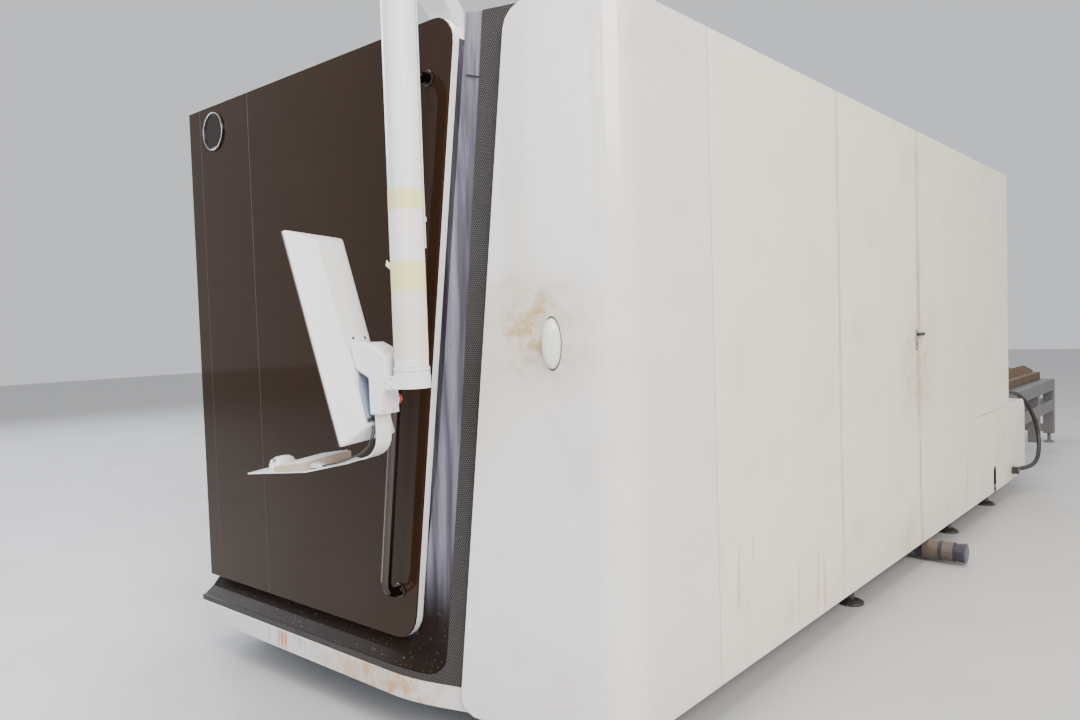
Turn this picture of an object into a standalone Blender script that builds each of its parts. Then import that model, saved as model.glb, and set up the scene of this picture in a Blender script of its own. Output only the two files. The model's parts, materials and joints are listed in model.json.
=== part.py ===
"""Enclosed fibre laser cutting machine with a two level exchange table.

Metres, +Z up. The machine is modelled from its front right corner: X runs to
the right and is zero on the long right side, Y runs from the front to the rear
and is zero on the front face, Z is zero on the floor. An empty then carries
everything, so that the middle of the whole footprint is at the origin.
"""
import bpy
import bmesh
from math import asin, cos, pi, radians, sin, sqrt, tan
from mathutils import Matrix, Vector

# Body of the enclosure
body_width = 2.31
body_length = 5.38
body_top = 2.50
panel_bottom = 0.13
front_seam_y = 0.79
side_panel_length = 1.18
panel_depth = 0.030
sheet = 0.002
seam_gap = 0.004
seat_gap = 0.0003
rear_sheet = 0.030

# Plan of the front: flat, then a gentle bend, a slanting stretch and the corner
bend_start_x = -0.92
bend_radius = 0.766
bend_turn = radians(16.7)
corner_radius = 0.15
corner_steps = 8
bend_steps = 4
smooth_angle = radians(35)
bevel_angle = radians(40)

# Curved corner cover, whose left edge leans
cover_proud = 0.018
cover_shell = 0.0175
cover_foot_x = -0.605
cover_lean_share = 0.105
cover_round = 0.080
round_steps = 4
latch_z = 1.405
latch_length = 0.165
latch_width = 0.062
latch_thickness = 0.026
latch_inset = 0.24
latch_dome_shares = ((1, 0), (0.96, 0.55), (0.78, 0.86), (0.40, 1))
latch_facets = 24

# Perforated trim and glossy surround
trim_foot_x = -0.668
trim_lean_share = 0.0955
trim_recess = 0.003
trim_thickness = 0.006
trim_tuck = 0.085
trim_band = 0.025
surround_flange = 0.006
surround_shell = 0.010
surround_round = 0.085
surround_hollow = 0.008
ledge_rise = 0.062

# Sill
sill_bottom = 0.137
sill_height = 0.083
sill_depth = 0.040
sill_end_x = -0.40

# Sliding front door
door_bottom = 0.331
door_foot_x = -0.835
door_lean_share = 0.148
door_round = 0.095
door_front_y = 0.050
glass_thickness = 0.008
door_frame_depth = 0.027
door_frame_bar = 0.080
door_corner_steps = 6
pane_seam_from_left = 0.51
pane_gap = 0.003
badge_radius = 0.086
badge_from_left = 0.224
badge_from_top = 0.117
badge_facets = 24
badge_thickness = 0.008
badge_rim = 0.014
handle_radius = 0.019
handle_standoff = 0.068
handle_inset = 0.093
handle_lean_share = 0.1413
handle_top_inset = 0.19
handle_bottom_inset = 0.179
handle_facets = 10
handle_bend = 0.050
door_rail_height = 0.030
door_rail_depth = 0.012
door_rail_inset = 0.060
door_channel_length = 0.75
door_channel_wall = 0.010
door_channel_gap = 0.0004
weld_depth = 0.010

# Enclosure frame
frame_tube = 0.060
frame_inset = 0.0305
roof_drop = 0.06
front_post_x = -0.560
roof_thickness = 0.030
roof_edge = 0.036
roof_front_y = 0.135
roof_fall = 0.010

# Base and bed
base_beam_width = 0.18
base_beam_bottom = 0.16
base_beam_height = 0.22
base_front_y = 0.30
base_rear_margin = 0.08
cross_beam_width = 0.12
cross_beam_height = 0.16
foot_pad_radius = 0.065
foot_pad_height = 0.022
foot_stem_radius = 0.018
foot_nut_radius = 0.034
foot_nut_height = 0.026
foot_x_margin = 0.095
foot_first_y = 0.55
foot_pitch = 1.75
foot_count = 3
foot_last_y = 5.05
foot_shoulder_share = 0.7
foot_cone_share = 1.4
foot_facets = 12
bed_post = 0.12
bed_post_count = 6
bed_outer_inset = 0.215
bed_front_y = 0.95
bed_rear_y = 5.22
bed_top = 1.02
bed_beam_height = 0.12
guide_rail_width = 0.030
guide_rail_height = 0.030

# Pallets and their ledges
pallet_length = 3.10
pallet_side_clearance = 0.020
pallet_tube = 0.060
pallet_height = 0.080
pallet_inside_y = 1.98
pallet_travel = 3.55
upper_level = 0.70
lower_level = 0.48
ledge_width = 0.060
ledge_thickness = 0.020
slat_count = 14
slat_thickness = 0.005
slat_teeth = 8
slat_height = 0.105
slat_sink = 0.030
slat_tooth_share = 0.45
slat_tip_share = 0.16
slat_tooth_middle_share = 0.5

# Exchange table
table_front_gap = 0.070
table_length = 3.30
table_post = 0.10
table_post_count = 5
table_beam_height = 0.12
table_cross_height = 0.08
table_cross_bottom = 0.12
table_foot_radius = 0.055
table_foot_height = 0.100
table_foot_plate = 0.018

# Rear wall, its box and hose
rear_opening_margin = 0.020
rear_opening_bottom = 0.44
rear_opening_top = 0.96
box_width = 0.19
box_length = 0.60
box_top = 0.735
box_round = 0.10
box_side_inset = 0.006
box_seam_share = 0.62
access_panel_length = 0.99
access_panel_top = 0.73
slot_from_rear = 0.46
slot_width = 0.075
slot_top = 0.32
hose_radius = 0.0165
gland_radius = 0.026
gland_length = 0.040
gland_neck_share = 0.8
gland_step_share = 0.55
gland_facets = 12
upper_gland_x = -0.070
upper_gland_z = 0.800
lower_gland_from_wall = 0.160
elbow_length = 0.055
elbow_reach = 0.042
elbow_centre_x = 0.017
elbow_socket = 0.020
elbow_wall_share = 1.2
lower_gland_z = 0.200

# Service door and its lever
lock_from_seam = 0.045
lock_height = 0.120
lock_width = 0.030
lock_thickness = 0.006
lock_z = 1.315
lever_length = 0.095
lever_width = 0.018
lever_thickness = 0.012
lever_hub_length = 0.016

# Machine parts inside
cabinet_inset_x = 0.075
cabinet_width = 0.26
cabinet_front_y = 0.40
cabinet_length = 0.33
cabinet_height_share = 0.70
cabinet_door = 0.018
hinge_block_length = 0.044
hinge_block_height = 0.10
hinge_height_shares = (0.18, 0.52, 0.86)
gas_plate_height = 0.62
gas_plate_length = 0.72
gas_plate_thickness = 0.004
gas_plate_z = 1.20
gas_block = 0.045
gas_pipe_radius = 0.011
gas_valve_count = 3
gas_pipe_facets = 10
conveyor_front_y = 1.15
conveyor_motor_y = 3.30
conveyor_side_margin = 0.38
conveyor_belt_thickness = 0.006
drum_radius = 0.046
drum_centre_z = 0.070
drum_shaft_radius = 0.014
drum_facets = 20
conveyor_plate = 0.008
conveyor_gap = 0.004
motor_reach = 0.205
motor_radius = 0.055
motor_cap = 0.045
motor_band = 0.012
motor_neck_share = 0.6
motor_neck_length_share = 0.5
motor_shoulder_share = 0.02
motor_body_share = 0.92
motor_end_share = 0.8
motor_facets = 20
gantry_front_y = 1.30
gantry_width = 0.16
gantry_height = 0.22
gantry_lift = 0.055
end_block_length = 0.34
end_block_width = 0.110
rail_clearance = 0.0006
cross_rail_height = 0.024
cross_rail_depth = 0.016
cross_rail_shares = (0.2, 0.8)
carriage_width = 0.24
carriage_depth = 0.040
carriage_height = 0.30
head_width = 0.13
head_depth = 0.11
head_height = 0.30
head_drop = 0.02
nozzle_radius = 0.020
nozzle_length = 0.060
nozzle_body_share = 0.45
nozzle_neck_share = 0.5
nozzle_neck_radius_share = 0.75
nozzle_tip_radius_share = 0.15
nozzle_facets = 16

# Operator console
pole_x = -0.400
pole_y = -0.280
pole_radius = 0.050
pole_bottom = 1.355
collar_radius = 0.0535
collar_height = 0.011
collar_groove = 0.002
pole_facets = 28
console_turn = radians(-69.3)
boom_clearance = 0.10
boom_height = 0.10
boom_width = 0.09
mast_x = -0.80
mast_y = 0.30
mast_radius = 0.055
mast_plate_radius = 0.12
mast_plate_thickness = 0.012
mast_cap = 0.02
mast_facets = 24
arm_thickness = 0.038
arm_half_width = 0.055
arm_reach = 0.057
arm_nose_steps = 12
mount_width = 0.107
mount_shoulder_z = 1.388
mount_brow_d = 0.090
mount_brow_z = 1.415
mount_crown_d = 0.120
mount_top = 1.430
mount_throat_z = 1.352
mount_chin_z = 1.326
leg_far_d = 0.117
leg_near_d = 0.074
leg_fillet = 0.017
leg_width = 0.070
junction_width = 0.032
junction_depth = 0.040
junction_near_d = 0.076
junction_height = 0.075
stop_radius = 0.0175
stop_collar_radius = 0.014
stop_collar = 0.012
stop_cap = 0.014
stop_travel = 0.006
stop_ring_radius = 0.0195
stop_bore_radius = 0.015
stop_ring = 0.008
stop_dome_share = 0.6
stop_face_share = 0.8
stop_facets = 16
tray_width = 0.27
tray_sheet = 0.004
tray_back_d = 0.105
tray_curve = 0.060
tray_low_z = 1.086
tray_bend_d = 0.208
tray_bend_z = 1.073
tray_kink_d = 0.290
tray_kink_z = 1.061
tray_tip_d = 0.495
tray_tip_z = 1.050
tray_curve_steps = 6
tray_neck = 0.084
keyboard_length = 0.25
keyboard_depth = 0.105
keyboard_height = 0.016
keyboard_back_share = 1.5
mouse_length = 0.105
mouse_width = 0.062
mouse_height = 0.034
mouse_place_share = 0.82
mouse_dome_shares = ((1, 0), (1, 0.35), (0.86, 0.72), (0.55, 0.95), (0.25, 1))
mouse_facets = 16
screen_width = 0.294
screen_height = 0.646
screen_bottom = 1.135
screen_tilt = radians(14.85)
screen_plate = 0.014
shell_rise = 0.045
shell_bevel_share = 0.26
shell_round = 0.012
screen_face = 0.004
screen_rim = 0.010
screen_distance = 0.163
shell_edge_angle = radians(15)

# Colours
cool_white = (0.78, 0.79, 0.80)
warm_white = (0.80, 0.77, 0.72)
near_black = (0.012, 0.012, 0.014)
dark_gloss = (0.05, 0.05, 0.06)
mesh_dark = (0.06, 0.055, 0.05)
steel_grey = (0.32, 0.33, 0.35)
frame_grey = (0.20, 0.21, 0.23)
rail_steel = (0.60, 0.61, 0.63)
rusty_steel = (0.28, 0.19, 0.13)
motor_blue = (0.05, 0.06, 0.16)
rubber_black = (0.02, 0.02, 0.02)
stop_red = (0.70, 0.05, 0.03)
brass_yellow = (0.70, 0.50, 0.20)

# Derived places
left_x = -body_width
middle_x = left_x / 2
frame_top = body_top - roof_drop
boom_z = frame_top + roof_thickness + boom_clearance + boom_height / 2
pane_seam_x = left_x + pane_seam_from_left
badge_x = left_x + badge_from_left
badge_z = body_top - badge_from_top
handle_top = body_top - handle_top_inset
handle_bottom = door_bottom + handle_bottom_inset
cabinet_height = body_top * cabinet_height_share
conveyor_width = body_width - 2 * conveyor_side_margin
second_seam_y = front_seam_y + side_panel_length
third_seam_y = second_seam_y + side_panel_length
bed_outer_x = -bed_outer_inset
bed_inner_x = bed_outer_x - bed_post
pallet_right_x = bed_inner_x - pallet_side_clearance
header_low_y = door_front_y + glass_thickness + door_frame_depth + seam_gap + door_rail_depth
header_low_y += door_channel_gap + door_channel_wall + seat_gap
table_y = body_length + table_front_gap
arm_top = pole_bottom - 2 * collar_height - collar_groove - seat_gap
arm_low = arm_top - arm_thickness
junction_low = arm_low - seat_gap - junction_height
table_rear_y = table_y + table_length
tray_front_reach = sqrt(tray_tip_d ** 2 + (tray_width / 2) ** 2)
tray_corner_turn = asin(tray_width / 2 / tray_front_reach)
front_reach = pole_y - tray_front_reach * cos(-console_turn - tray_corner_turn)
origin_x = (left_x + motor_reach) / 2
origin_y = (front_reach + table_rear_y) / 2


def clear_scene():
    for item in list(bpy.data.objects):
        bpy.data.objects.remove(item, do_unlink=True)


def material(name, colour, roughness, metallic=0.0):
    finish = bpy.data.materials.get(name) or bpy.data.materials.new(name)
    finish.use_nodes = True
    shader = finish.node_tree.nodes["Principled BSDF"]
    shader.inputs["Base Color"].default_value = (*colour, 1.0)
    shader.inputs["Roughness"].default_value = roughness
    shader.inputs["Metallic"].default_value = metallic
    return finish


def empty(name, place=(0, 0, 0), parent=None, turn=0):
    holder = bpy.data.objects.new(name, None)
    bpy.context.scene.collection.objects.link(holder)
    holder.location = place
    holder.rotation_euler = (0, 0, turn)
    holder.parent = parent
    return holder


def piece(name, shape, finish, parent, pivot=(0, 0, 0), smooth=False):
    """Turn a bmesh, drawn in its parent's space, into an object whose origin is the pivot."""
    bmesh.ops.recalc_face_normals(shape, faces=shape.faces)
    bmesh.ops.translate(shape, verts=shape.verts, vec=-Vector(pivot))
    mesh = bpy.data.meshes.new(name)
    shape.to_mesh(mesh)
    shape.free()
    mesh.materials.append(finish)
    if smooth:
        mesh.shade_smooth()
        mesh.set_sharp_from_angle(angle=smooth_angle)
    item = bpy.data.objects.new(name, mesh)
    bpy.context.scene.collection.objects.link(item)
    item.parent = parent
    item.location = pivot
    return item


def add_block(shape, low, high):
    spans = list(zip(low, high))
    corners = [Vector((x, y, z)) for x in spans[0] for y in spans[1] for z in spans[2]]
    points = [shape.verts.new(corner) for corner in corners]
    for loop in ((0, 1, 3, 2), (4, 6, 7, 5), (0, 4, 5, 1), (2, 3, 7, 6), (0, 2, 6, 4), (1, 5, 7, 3)):
        shape.faces.new([points[index] for index in loop])


def blocks(boxes):
    shape = bmesh.new()
    for low, high in boxes:
        add_block(shape, low, high)
    return shape


def add_prism(shape, outline, along):
    """Sweep a closed flat outline along a straight vector."""
    near = [shape.verts.new(Vector(point)) for point in outline]
    far = [shape.verts.new(Vector(point) + Vector(along)) for point in outline]
    shape.faces.new(near)
    shape.faces.new(list(reversed(far)))
    for index in range(len(near)):
        after = (index + 1) % len(near)
        shape.faces.new((near[index], far[index], far[after], near[after]))


def prism(outline, along):
    shape = bmesh.new()
    add_prism(shape, outline, along)
    return shape


def add_turned(shape, profile, centre, axis, facets):
    """Turn a profile of (radius, height) points round an axis through centre."""
    frame = Vector(axis).to_track_quat("Z", "Y")
    rings = []
    for radius, height in profile:
        ring = []
        for step in range(facets):
            angle = 2 * pi * step / facets
            spot = frame @ Vector((radius * cos(angle), radius * sin(angle), height))
            ring.append(shape.verts.new(Vector(centre) + spot))
        rings.append(ring)
    shape.faces.new(rings[0])
    shape.faces.new(list(reversed(rings[-1])))
    for lower, upper in zip(rings, rings[1:]):
        for step in range(facets):
            after = (step + 1) % facets
            shape.faces.new((lower[step], lower[after], upper[after], upper[step]))


def turned(profile, centre, axis, facets):
    shape = bmesh.new()
    add_turned(shape, profile, centre, axis, facets)
    return shape


def add_tube(shape, path, radius, sides):
    """A round bar along a path that bends in one plane."""
    path = [Vector(point) for point in path]
    bend_normal = None
    for start, mid, end in zip(path, path[1:], path[2:]):
        cross = (mid - start).cross(end - mid)
        if cross.length > 0:
            bend_normal = cross.normalized()
            break
    rings = []
    for index, point in enumerate(path):
        before = path[max(index - 1, 0)]
        after = path[min(index + 1, len(path) - 1)]
        tangent = (after - before).normalized()
        across = tangent.cross(bend_normal).normalized()
        ring = []
        for step in range(sides):
            angle = 2 * pi * step / sides
            ring.append(shape.verts.new(point + radius * (cos(angle) * across + sin(angle) * bend_normal)))
        rings.append(ring)
    shape.faces.new(rings[0])
    shape.faces.new(list(reversed(rings[-1])))
    for lower, upper in zip(rings, rings[1:]):
        for step in range(sides):
            after = (step + 1) % sides
            shape.faces.new((lower[step], lower[after], upper[after], upper[step]))


def closed_grid(front_rows, back_rows):
    """A closed wall between a front sheet and a back sheet with the same rows."""
    shape = bmesh.new()
    front = [[shape.verts.new(Vector(point)) for point in row] for row in front_rows]
    back = [[shape.verts.new(Vector(point)) for point in row] for row in back_rows]
    for sheet_grid in (front, back):
        for lower, upper in zip(sheet_grid, sheet_grid[1:]):
            for index in range(len(lower) - 1):
                shape.faces.new((lower[index], lower[index + 1], upper[index + 1], upper[index]))
    last = len(front[0]) - 1
    for index in range(last):
        for row in (0, -1):
            shape.faces.new(
                (front[row][index], front[row][index + 1], back[row][index + 1], back[row][index]))
    for row in range(len(front) - 1):
        for column in (0, last):
            shape.faces.new(
                (front[row][column], front[row + 1][column], back[row + 1][column], back[row][column]))
    return shape


def add_ring(shape, outer, inner, along):
    """A flat ring between two outlines with equal counts, swept along a vector."""
    loops = []
    for outline in (outer, inner):
        near = [shape.verts.new(Vector(point)) for point in outline]
        far = [shape.verts.new(Vector(point) + Vector(along)) for point in outline]
        loops.append((near, far))
    (outer_near, outer_far), (inner_near, inner_far) = loops
    count = len(outer)
    for index in range(count):
        after = (index + 1) % count
        shape.faces.new((outer_near[index], outer_near[after], inner_near[after], inner_near[index]))
        shape.faces.new((outer_far[index], inner_far[index], inner_far[after], outer_far[after]))
        shape.faces.new((outer_near[index], outer_far[index], outer_far[after], outer_near[after]))
        shape.faces.new((inner_near[index], inner_near[after], inner_far[after], inner_far[index]))


def combine(target, shape, name, operation):
    """Cut a shape out of an object, or weld one to it, with an exact boolean."""
    helper = piece(name, shape, target.data.materials[0], target.parent)
    helper.hide_render = True
    helper.hide_set(True)
    helper.display_type = "WIRE"
    modifier = target.modifiers.new(name, "BOOLEAN")
    modifier.operation = operation
    modifier.solver = "EXACT"
    modifier.object = helper


def cut(target, shape, name):
    combine(target, shape, name, "DIFFERENCE")


def weld(target, shape, name):
    combine(target, shape, name, "UNION")


def round_edges(target, width, segments=2, angle=bevel_angle):
    modifier = target.modifiers.new("edges", "BEVEL")
    modifier.width = width
    modifier.segments = segments
    modifier.limit_method = "ANGLE"
    modifier.angle_limit = angle


def add_folded_panel(shape, low, high, inward):
    """A side panel whose edges fold back by its whole depth, open on its inner side.

    inward is 1 where the inside of the machine lies toward +X, and -1 where it lies toward -X.
    """
    outer_x, inner_x = (low[0], high[0]) if inward > 0 else (high[0], low[0])
    pocket_x = outer_x + inward * sheet
    rings = []
    for x, inset in ((outer_x, 0.0), (inner_x, 0.0), (inner_x, sheet), (pocket_x, sheet)):
        y0, y1 = low[1] + inset, high[1] - inset
        z0, z1 = low[2] + inset, high[2] - inset
        rings.append([shape.verts.new((x, y, z)) for y, z in ((y0, z0), (y1, z0), (y1, z1), (y0, z1))])
    shape.faces.new(rings[0])
    shape.faces.new(rings[-1])
    for before, after in zip(rings, rings[1:]):
        for index in range(4):
            following = (index + 1) % 4
            shape.faces.new((before[index], before[following], after[following], after[index]))


def folded_panel(name, low, high, inward, finish, parent, pivot=(0, 0, 0)):
    """A folded panel as an object of its own."""
    shape = bmesh.new()
    add_folded_panel(shape, low, high, inward)
    return piece(name, shape, finish, parent, pivot)


def plan_point(x, depth):
    """The point of the front face at x, set back from it by a depth."""
    if x <= bend_start_x:
        return x, depth
    turn = asin(min((x - bend_start_x) / bend_radius, sin(bend_turn)))
    arc_x = bend_start_x + bend_radius * sin(turn)
    y = bend_radius * (1 - cos(turn)) + (x - arc_x) * tan(bend_turn)
    return x - depth * sin(turn), y + depth * cos(turn)


def corner_centre(depth, radius):
    """Centre of the corner arc that meets the slanting front at a depth and the side plane."""
    line_x, line_y = plan_point(-radius, depth)
    line_y += (-radius - line_x) * tan(bend_turn)
    return -radius, line_y + radius / cos(bend_turn)


def corner_points(depth, radius, inset=0.0):
    """Points round the corner from the slanting front to the side plane."""
    centre_x, centre_y = corner_centre(depth, radius)
    points = []
    for step in range(corner_steps + 1):
        angle = bend_turn + (pi / 2 - bend_turn) * step / corner_steps
        points.append((centre_x + (radius - inset) * sin(angle), centre_y - (radius - inset) * cos(angle)))
    return points


def leaning(foot_x, lean_share, z):
    return foot_x + lean_share * (z - panel_bottom)


def bend_stations(start_x, end_x):
    """Stations along the front that follow its bend between two ends."""
    bend_end_x = bend_start_x + bend_radius * sin(bend_turn)
    inner = [bend_start_x + (bend_end_x - bend_start_x) * step / bend_steps for step in range(bend_steps + 1)]
    return [start_x] + [x for x in inner if start_x < x < end_x] + [end_x]


def cover_left(z):
    """Left edge of the corner cover: a leaning line that rounds off at both ends."""
    edge = leaning(cover_foot_x, cover_lean_share, z)
    reach = min(z - panel_bottom, body_top - z)
    if reach < cover_round:
        edge += cover_round - sqrt(cover_round ** 2 - (cover_round - reach) ** 2)
    return edge


def make_corner_cover(parent, white):
    heights = []
    for step in range(round_steps + 1):
        heights.append(panel_bottom + cover_round * (1 - cos(pi / 2 * step / round_steps)))
    heights += [panel_bottom + body_top - z for z in reversed(heights)]
    hinge_y = front_seam_y - seam_gap / 2
    front_rows = []
    back_rows = []
    for z in heights:
        left = cover_left(z)
        outer = [plan_point(left, -cover_proud)] + corner_points(-cover_proud, corner_radius)
        inner = [plan_point(left, cover_shell - cover_proud)]
        inner += corner_points(-cover_proud, corner_radius, cover_shell)
        front_rows.append([(x, y, z) for x, y in outer + [(0, hinge_y)]])
        back_rows.append([(x, y, z) for x, y in inner + [(-cover_shell, hinge_y)]])
    shape = closed_grid(front_rows, back_rows)
    return piece("corner_cover", shape, white, parent, (0, front_seam_y, 0), smooth=True)


def latch_place():
    """Middle of the oval latch on the slanting face of the cover, and the outward direction there."""
    x = cover_left(latch_z) + latch_inset
    seat = plan_point(x, -cover_proud - seat_gap)
    return Vector((seat[0], seat[1], latch_z)), Vector((sin(bend_turn), -cos(bend_turn), 0))


def make_cover_latch(parent, white):
    centre, outward = latch_place()
    shape = bmesh.new()
    add_turned(shape, latch_dome_shares, (0, 0, 0), (0, 0, 1), latch_facets)
    stretch = Matrix.Diagonal((latch_width / 2, latch_length / 2, latch_thickness, 1))
    face_out = Matrix.Rotation(bend_turn, 4, "Z") @ Matrix.Rotation(pi / 2, 4, "X")
    bmesh.ops.transform(shape, matrix=Matrix.Translation(centre) @ face_out @ stretch, verts=shape.verts)
    return piece("cover_latch", shape, white, parent, centre, smooth=True)


def front_path():
    """Stations of the trim: along the bottom from the left end, then up the leaning side.

    Each station gives the outer edge, the inner edge and the ledge's back edge as (x, z), and
    the direction in which the surround's flange reaches behind the trim.
    """
    low = sill_bottom + sill_height + seat_gap
    band_z = low + trim_band
    corner_x = leaning(trim_foot_x, trim_lean_share, band_z)
    stations = []
    for x in bend_stations(left_x, corner_x - surround_round):
        reach_share = (x - left_x) / (corner_x - surround_round - left_x)
        back_x = left_x + reach_share * (door_foot_x - door_round - surround_hollow - left_x)
        stations.append(((x, low), (x, band_z), (back_x, band_z + ledge_rise), (0, -1)))
    for step in range(1, round_steps + 1):
        angle = pi / 2 * step / round_steps
        across = surround_round * sin(angle)
        up = surround_round * (1 - cos(angle))
        share = step / round_steps
        back_x = door_foot_x - door_round * (1 - sin(angle)) - surround_hollow
        back_z = band_z + ledge_rise + door_round * (1 - cos(angle))
        outer_x = corner_x - surround_round + across
        edge_z = low + (band_z + surround_round - low) * max(share - 0.5, 0) * 2
        tucked_x = leaning(cover_foot_x, cover_lean_share, edge_z) + trim_tuck
        edge_x = outer_x + (tucked_x - outer_x) * min(share * 2, 1)
        flange = (sin(angle), -cos(angle))
        stations.append(((edge_x, edge_z), (outer_x, band_z + up), (back_x, back_z), flange))
    rise_start = band_z + surround_round
    side_steps = 3
    for step in range(1, side_steps + 1):
        z = rise_start + (body_top - rise_start) * step / side_steps
        stations.append((
            (leaning(cover_foot_x, cover_lean_share, z) + trim_tuck, z),
            (leaning(trim_foot_x, trim_lean_share, z), z),
            (leaning(door_foot_x, door_lean_share, z) - surround_hollow, z), (1, 0)))
    return stations


def on_front(spot, depth):
    x, y = plan_point(spot[0], depth)
    return x, y, spot[1]


def make_perforated_trim(parent, dark):
    edges = [station[:2] for station in front_path()]
    back_depth = trim_recess + trim_thickness
    front = [[on_front(spot, trim_recess) for spot in pair] for pair in edges]
    back = [[on_front(spot, back_depth) for spot in pair] for pair in edges]
    return piece("perforated_trim", closed_grid(front, back), dark, parent)


def make_front_surround(parent, gloss):
    """The dark concave band behind the door: a ledge below and a reveal up the right side."""
    back_y = door_front_y + glass_thickness + door_frame_depth + seam_gap
    front_rows = []
    back_rows = []
    flange_depth = trim_recess + trim_thickness + seat_gap
    for _, edge, back, flange in front_path():
        spot = (edge[0] + surround_flange * flange[0], edge[1] + surround_flange * flange[1])
        near = Vector(on_front(spot, flange_depth))
        far = Vector((back[0], back_y, back[1]))
        middle = (near + far) / 2 + Vector((0, surround_hollow, 0))
        rows = [near, middle, far]
        front_rows.append(rows)
        back_rows.append([point + Vector((0, surround_shell, 0)) for point in rows])
    return piece("front_surround", closed_grid(front_rows, back_rows), gloss, parent, smooth=True)


def make_front_sill(parent, white):
    xs = bend_stations(left_x + sill_depth, sill_end_x)
    outer = [(left_x, sill_depth), (left_x, sill_depth / 2)] + [plan_point(x, 0.0) for x in xs]
    inner = [plan_point(x, sill_depth) for x in reversed(xs)]
    outline = [(x, y, sill_bottom) for x, y in outer + inner]
    return piece("front_sill", prism(outline, (0, 0, sill_height)), white, parent)


def door_outline(inset, y):
    """Outline of the front door: square at the left, leaning and rounded at the right."""
    bottom = door_bottom + inset
    top = body_top - inset
    radius = max(door_round - inset, door_round / 4)
    slant = sqrt(1 + door_lean_share ** 2)

    def right_edge(z):
        return door_foot_x + door_lean_share * (z - door_bottom) - inset * slant

    points = [(left_x + inset, y, bottom)]
    for step in range(door_corner_steps + 1):
        angle = pi / 2 * step / door_corner_steps
        z = bottom + radius * (1 - cos(angle))
        points.append((right_edge(z) - radius * (1 - sin(angle)), y, z))
    for step in range(door_corner_steps + 1):
        angle = pi / 2 * step / door_corner_steps
        z = top - radius * (1 - sin(angle))
        points.append((right_edge(z) - radius * (1 - cos(angle)), y, z))
    points.append((left_x + inset, y, top))
    return points


def make_front_door(parent, black, light, chrome):
    glass_back = door_front_y + glass_thickness
    main = [point for point in door_outline(0.0, door_front_y)]
    half_gap = pane_gap / 2
    main = [(max(x, pane_seam_x + half_gap), y, z) for x, y, z in main]
    piece("door_glass", prism(main, (0, glass_thickness, 0)), black, parent)
    left = blocks([(
        (left_x, door_front_y, door_bottom),
        (pane_seam_x - half_gap, glass_back, body_top))])
    piece("door_glass_left", left, black, parent)

    ring = bmesh.new()
    start_y = glass_back + seat_gap
    depth = door_frame_depth - seat_gap
    add_ring(ring, door_outline(0.0, start_y), door_outline(door_frame_bar, start_y), (0, depth, 0))
    frame = piece("door_frame", ring, light, parent)
    middle_bar = ((pane_seam_x - door_frame_bar / 2, start_y, door_bottom + door_frame_bar - weld_depth), (
        pane_seam_x + door_frame_bar / 2, start_y + depth, body_top - door_frame_bar + weld_depth))
    weld(frame, blocks([middle_bar]), "door_middle_bar")
    rails = bmesh.new()
    back_y = start_y + depth
    for z in (door_bottom + door_rail_inset, body_top - door_rail_inset):
        rail_end = door_foot_x - door_round + door_lean_share * (z - door_bottom)
        add_block(rails, (left_x + door_frame_bar / 2, back_y - weld_depth, z - door_rail_height / 2), (
            rail_end, back_y + seam_gap + door_rail_depth, z + door_rail_height / 2))
    weld(frame, rails, "door_rails")

    badge = bmesh.new()
    seat = (badge_x, door_front_y - seat_gap, badge_z)
    rise = badge_thickness - seat_gap
    inside = badge_radius - badge_rim
    profile = [(badge_radius, 0), (badge_radius, rise / 2), (badge_radius - rise / 2, rise),
               (inside + rise / 2, rise), (inside, rise / 2)]
    add_turned(badge, profile, seat, (0, -1, 0), badge_facets)
    piece("door_badge", badge, chrome, parent, smooth=True)


def make_door_handle(parent, steel):
    def line_x(z):
        return door_foot_x + handle_lean_share * (z - door_bottom) - handle_inset

    foot_y = door_front_y - seat_gap
    out_y = door_front_y - handle_standoff
    path = []
    for end_z, sign in ((handle_top, -1), (handle_bottom, 1)):
        stretch = [(line_x(end_z), foot_y, end_z)]
        for step in range(5):
            angle = pi / 2 * step / 4
            z = end_z + sign * handle_bend * (1 - cos(angle))
            stretch.append((line_x(z), out_y + handle_bend * (1 - sin(angle)), z))
        path += stretch if sign < 0 else list(reversed(stretch))
    shape = bmesh.new()
    add_tube(shape, path, handle_radius, handle_facets)
    piece("door_handle", shape, steel, parent, smooth=True)


def make_door_channels(parent, steel):
    """Fixed channels that grip the two rails on the back of the front door."""
    near_y = door_front_y + glass_thickness + door_frame_depth + seam_gap / 2
    far_y = near_y + seam_gap / 2 + door_rail_depth + door_channel_gap
    reach = door_rail_height / 2 + door_channel_gap
    wall = reach + door_channel_wall
    start = left_x + door_frame_bar / 2
    levels = {"door_channel_bottom": door_bottom + door_rail_inset,
              "door_channel_top": body_top - door_rail_inset}
    for name, z in levels.items():
        outline = [
            (near_y, z - reach), (near_y, z - wall), (far_y + door_channel_wall, z - wall),
            (far_y + door_channel_wall, z + wall), (near_y, z + wall), (near_y, z + reach),
            (far_y, z + reach), (far_y, z - reach)]
        shape = prism([(start, y, height) for y, height in outline], (door_channel_length, 0, 0))
        piece(name, shape, steel, parent)


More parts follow.
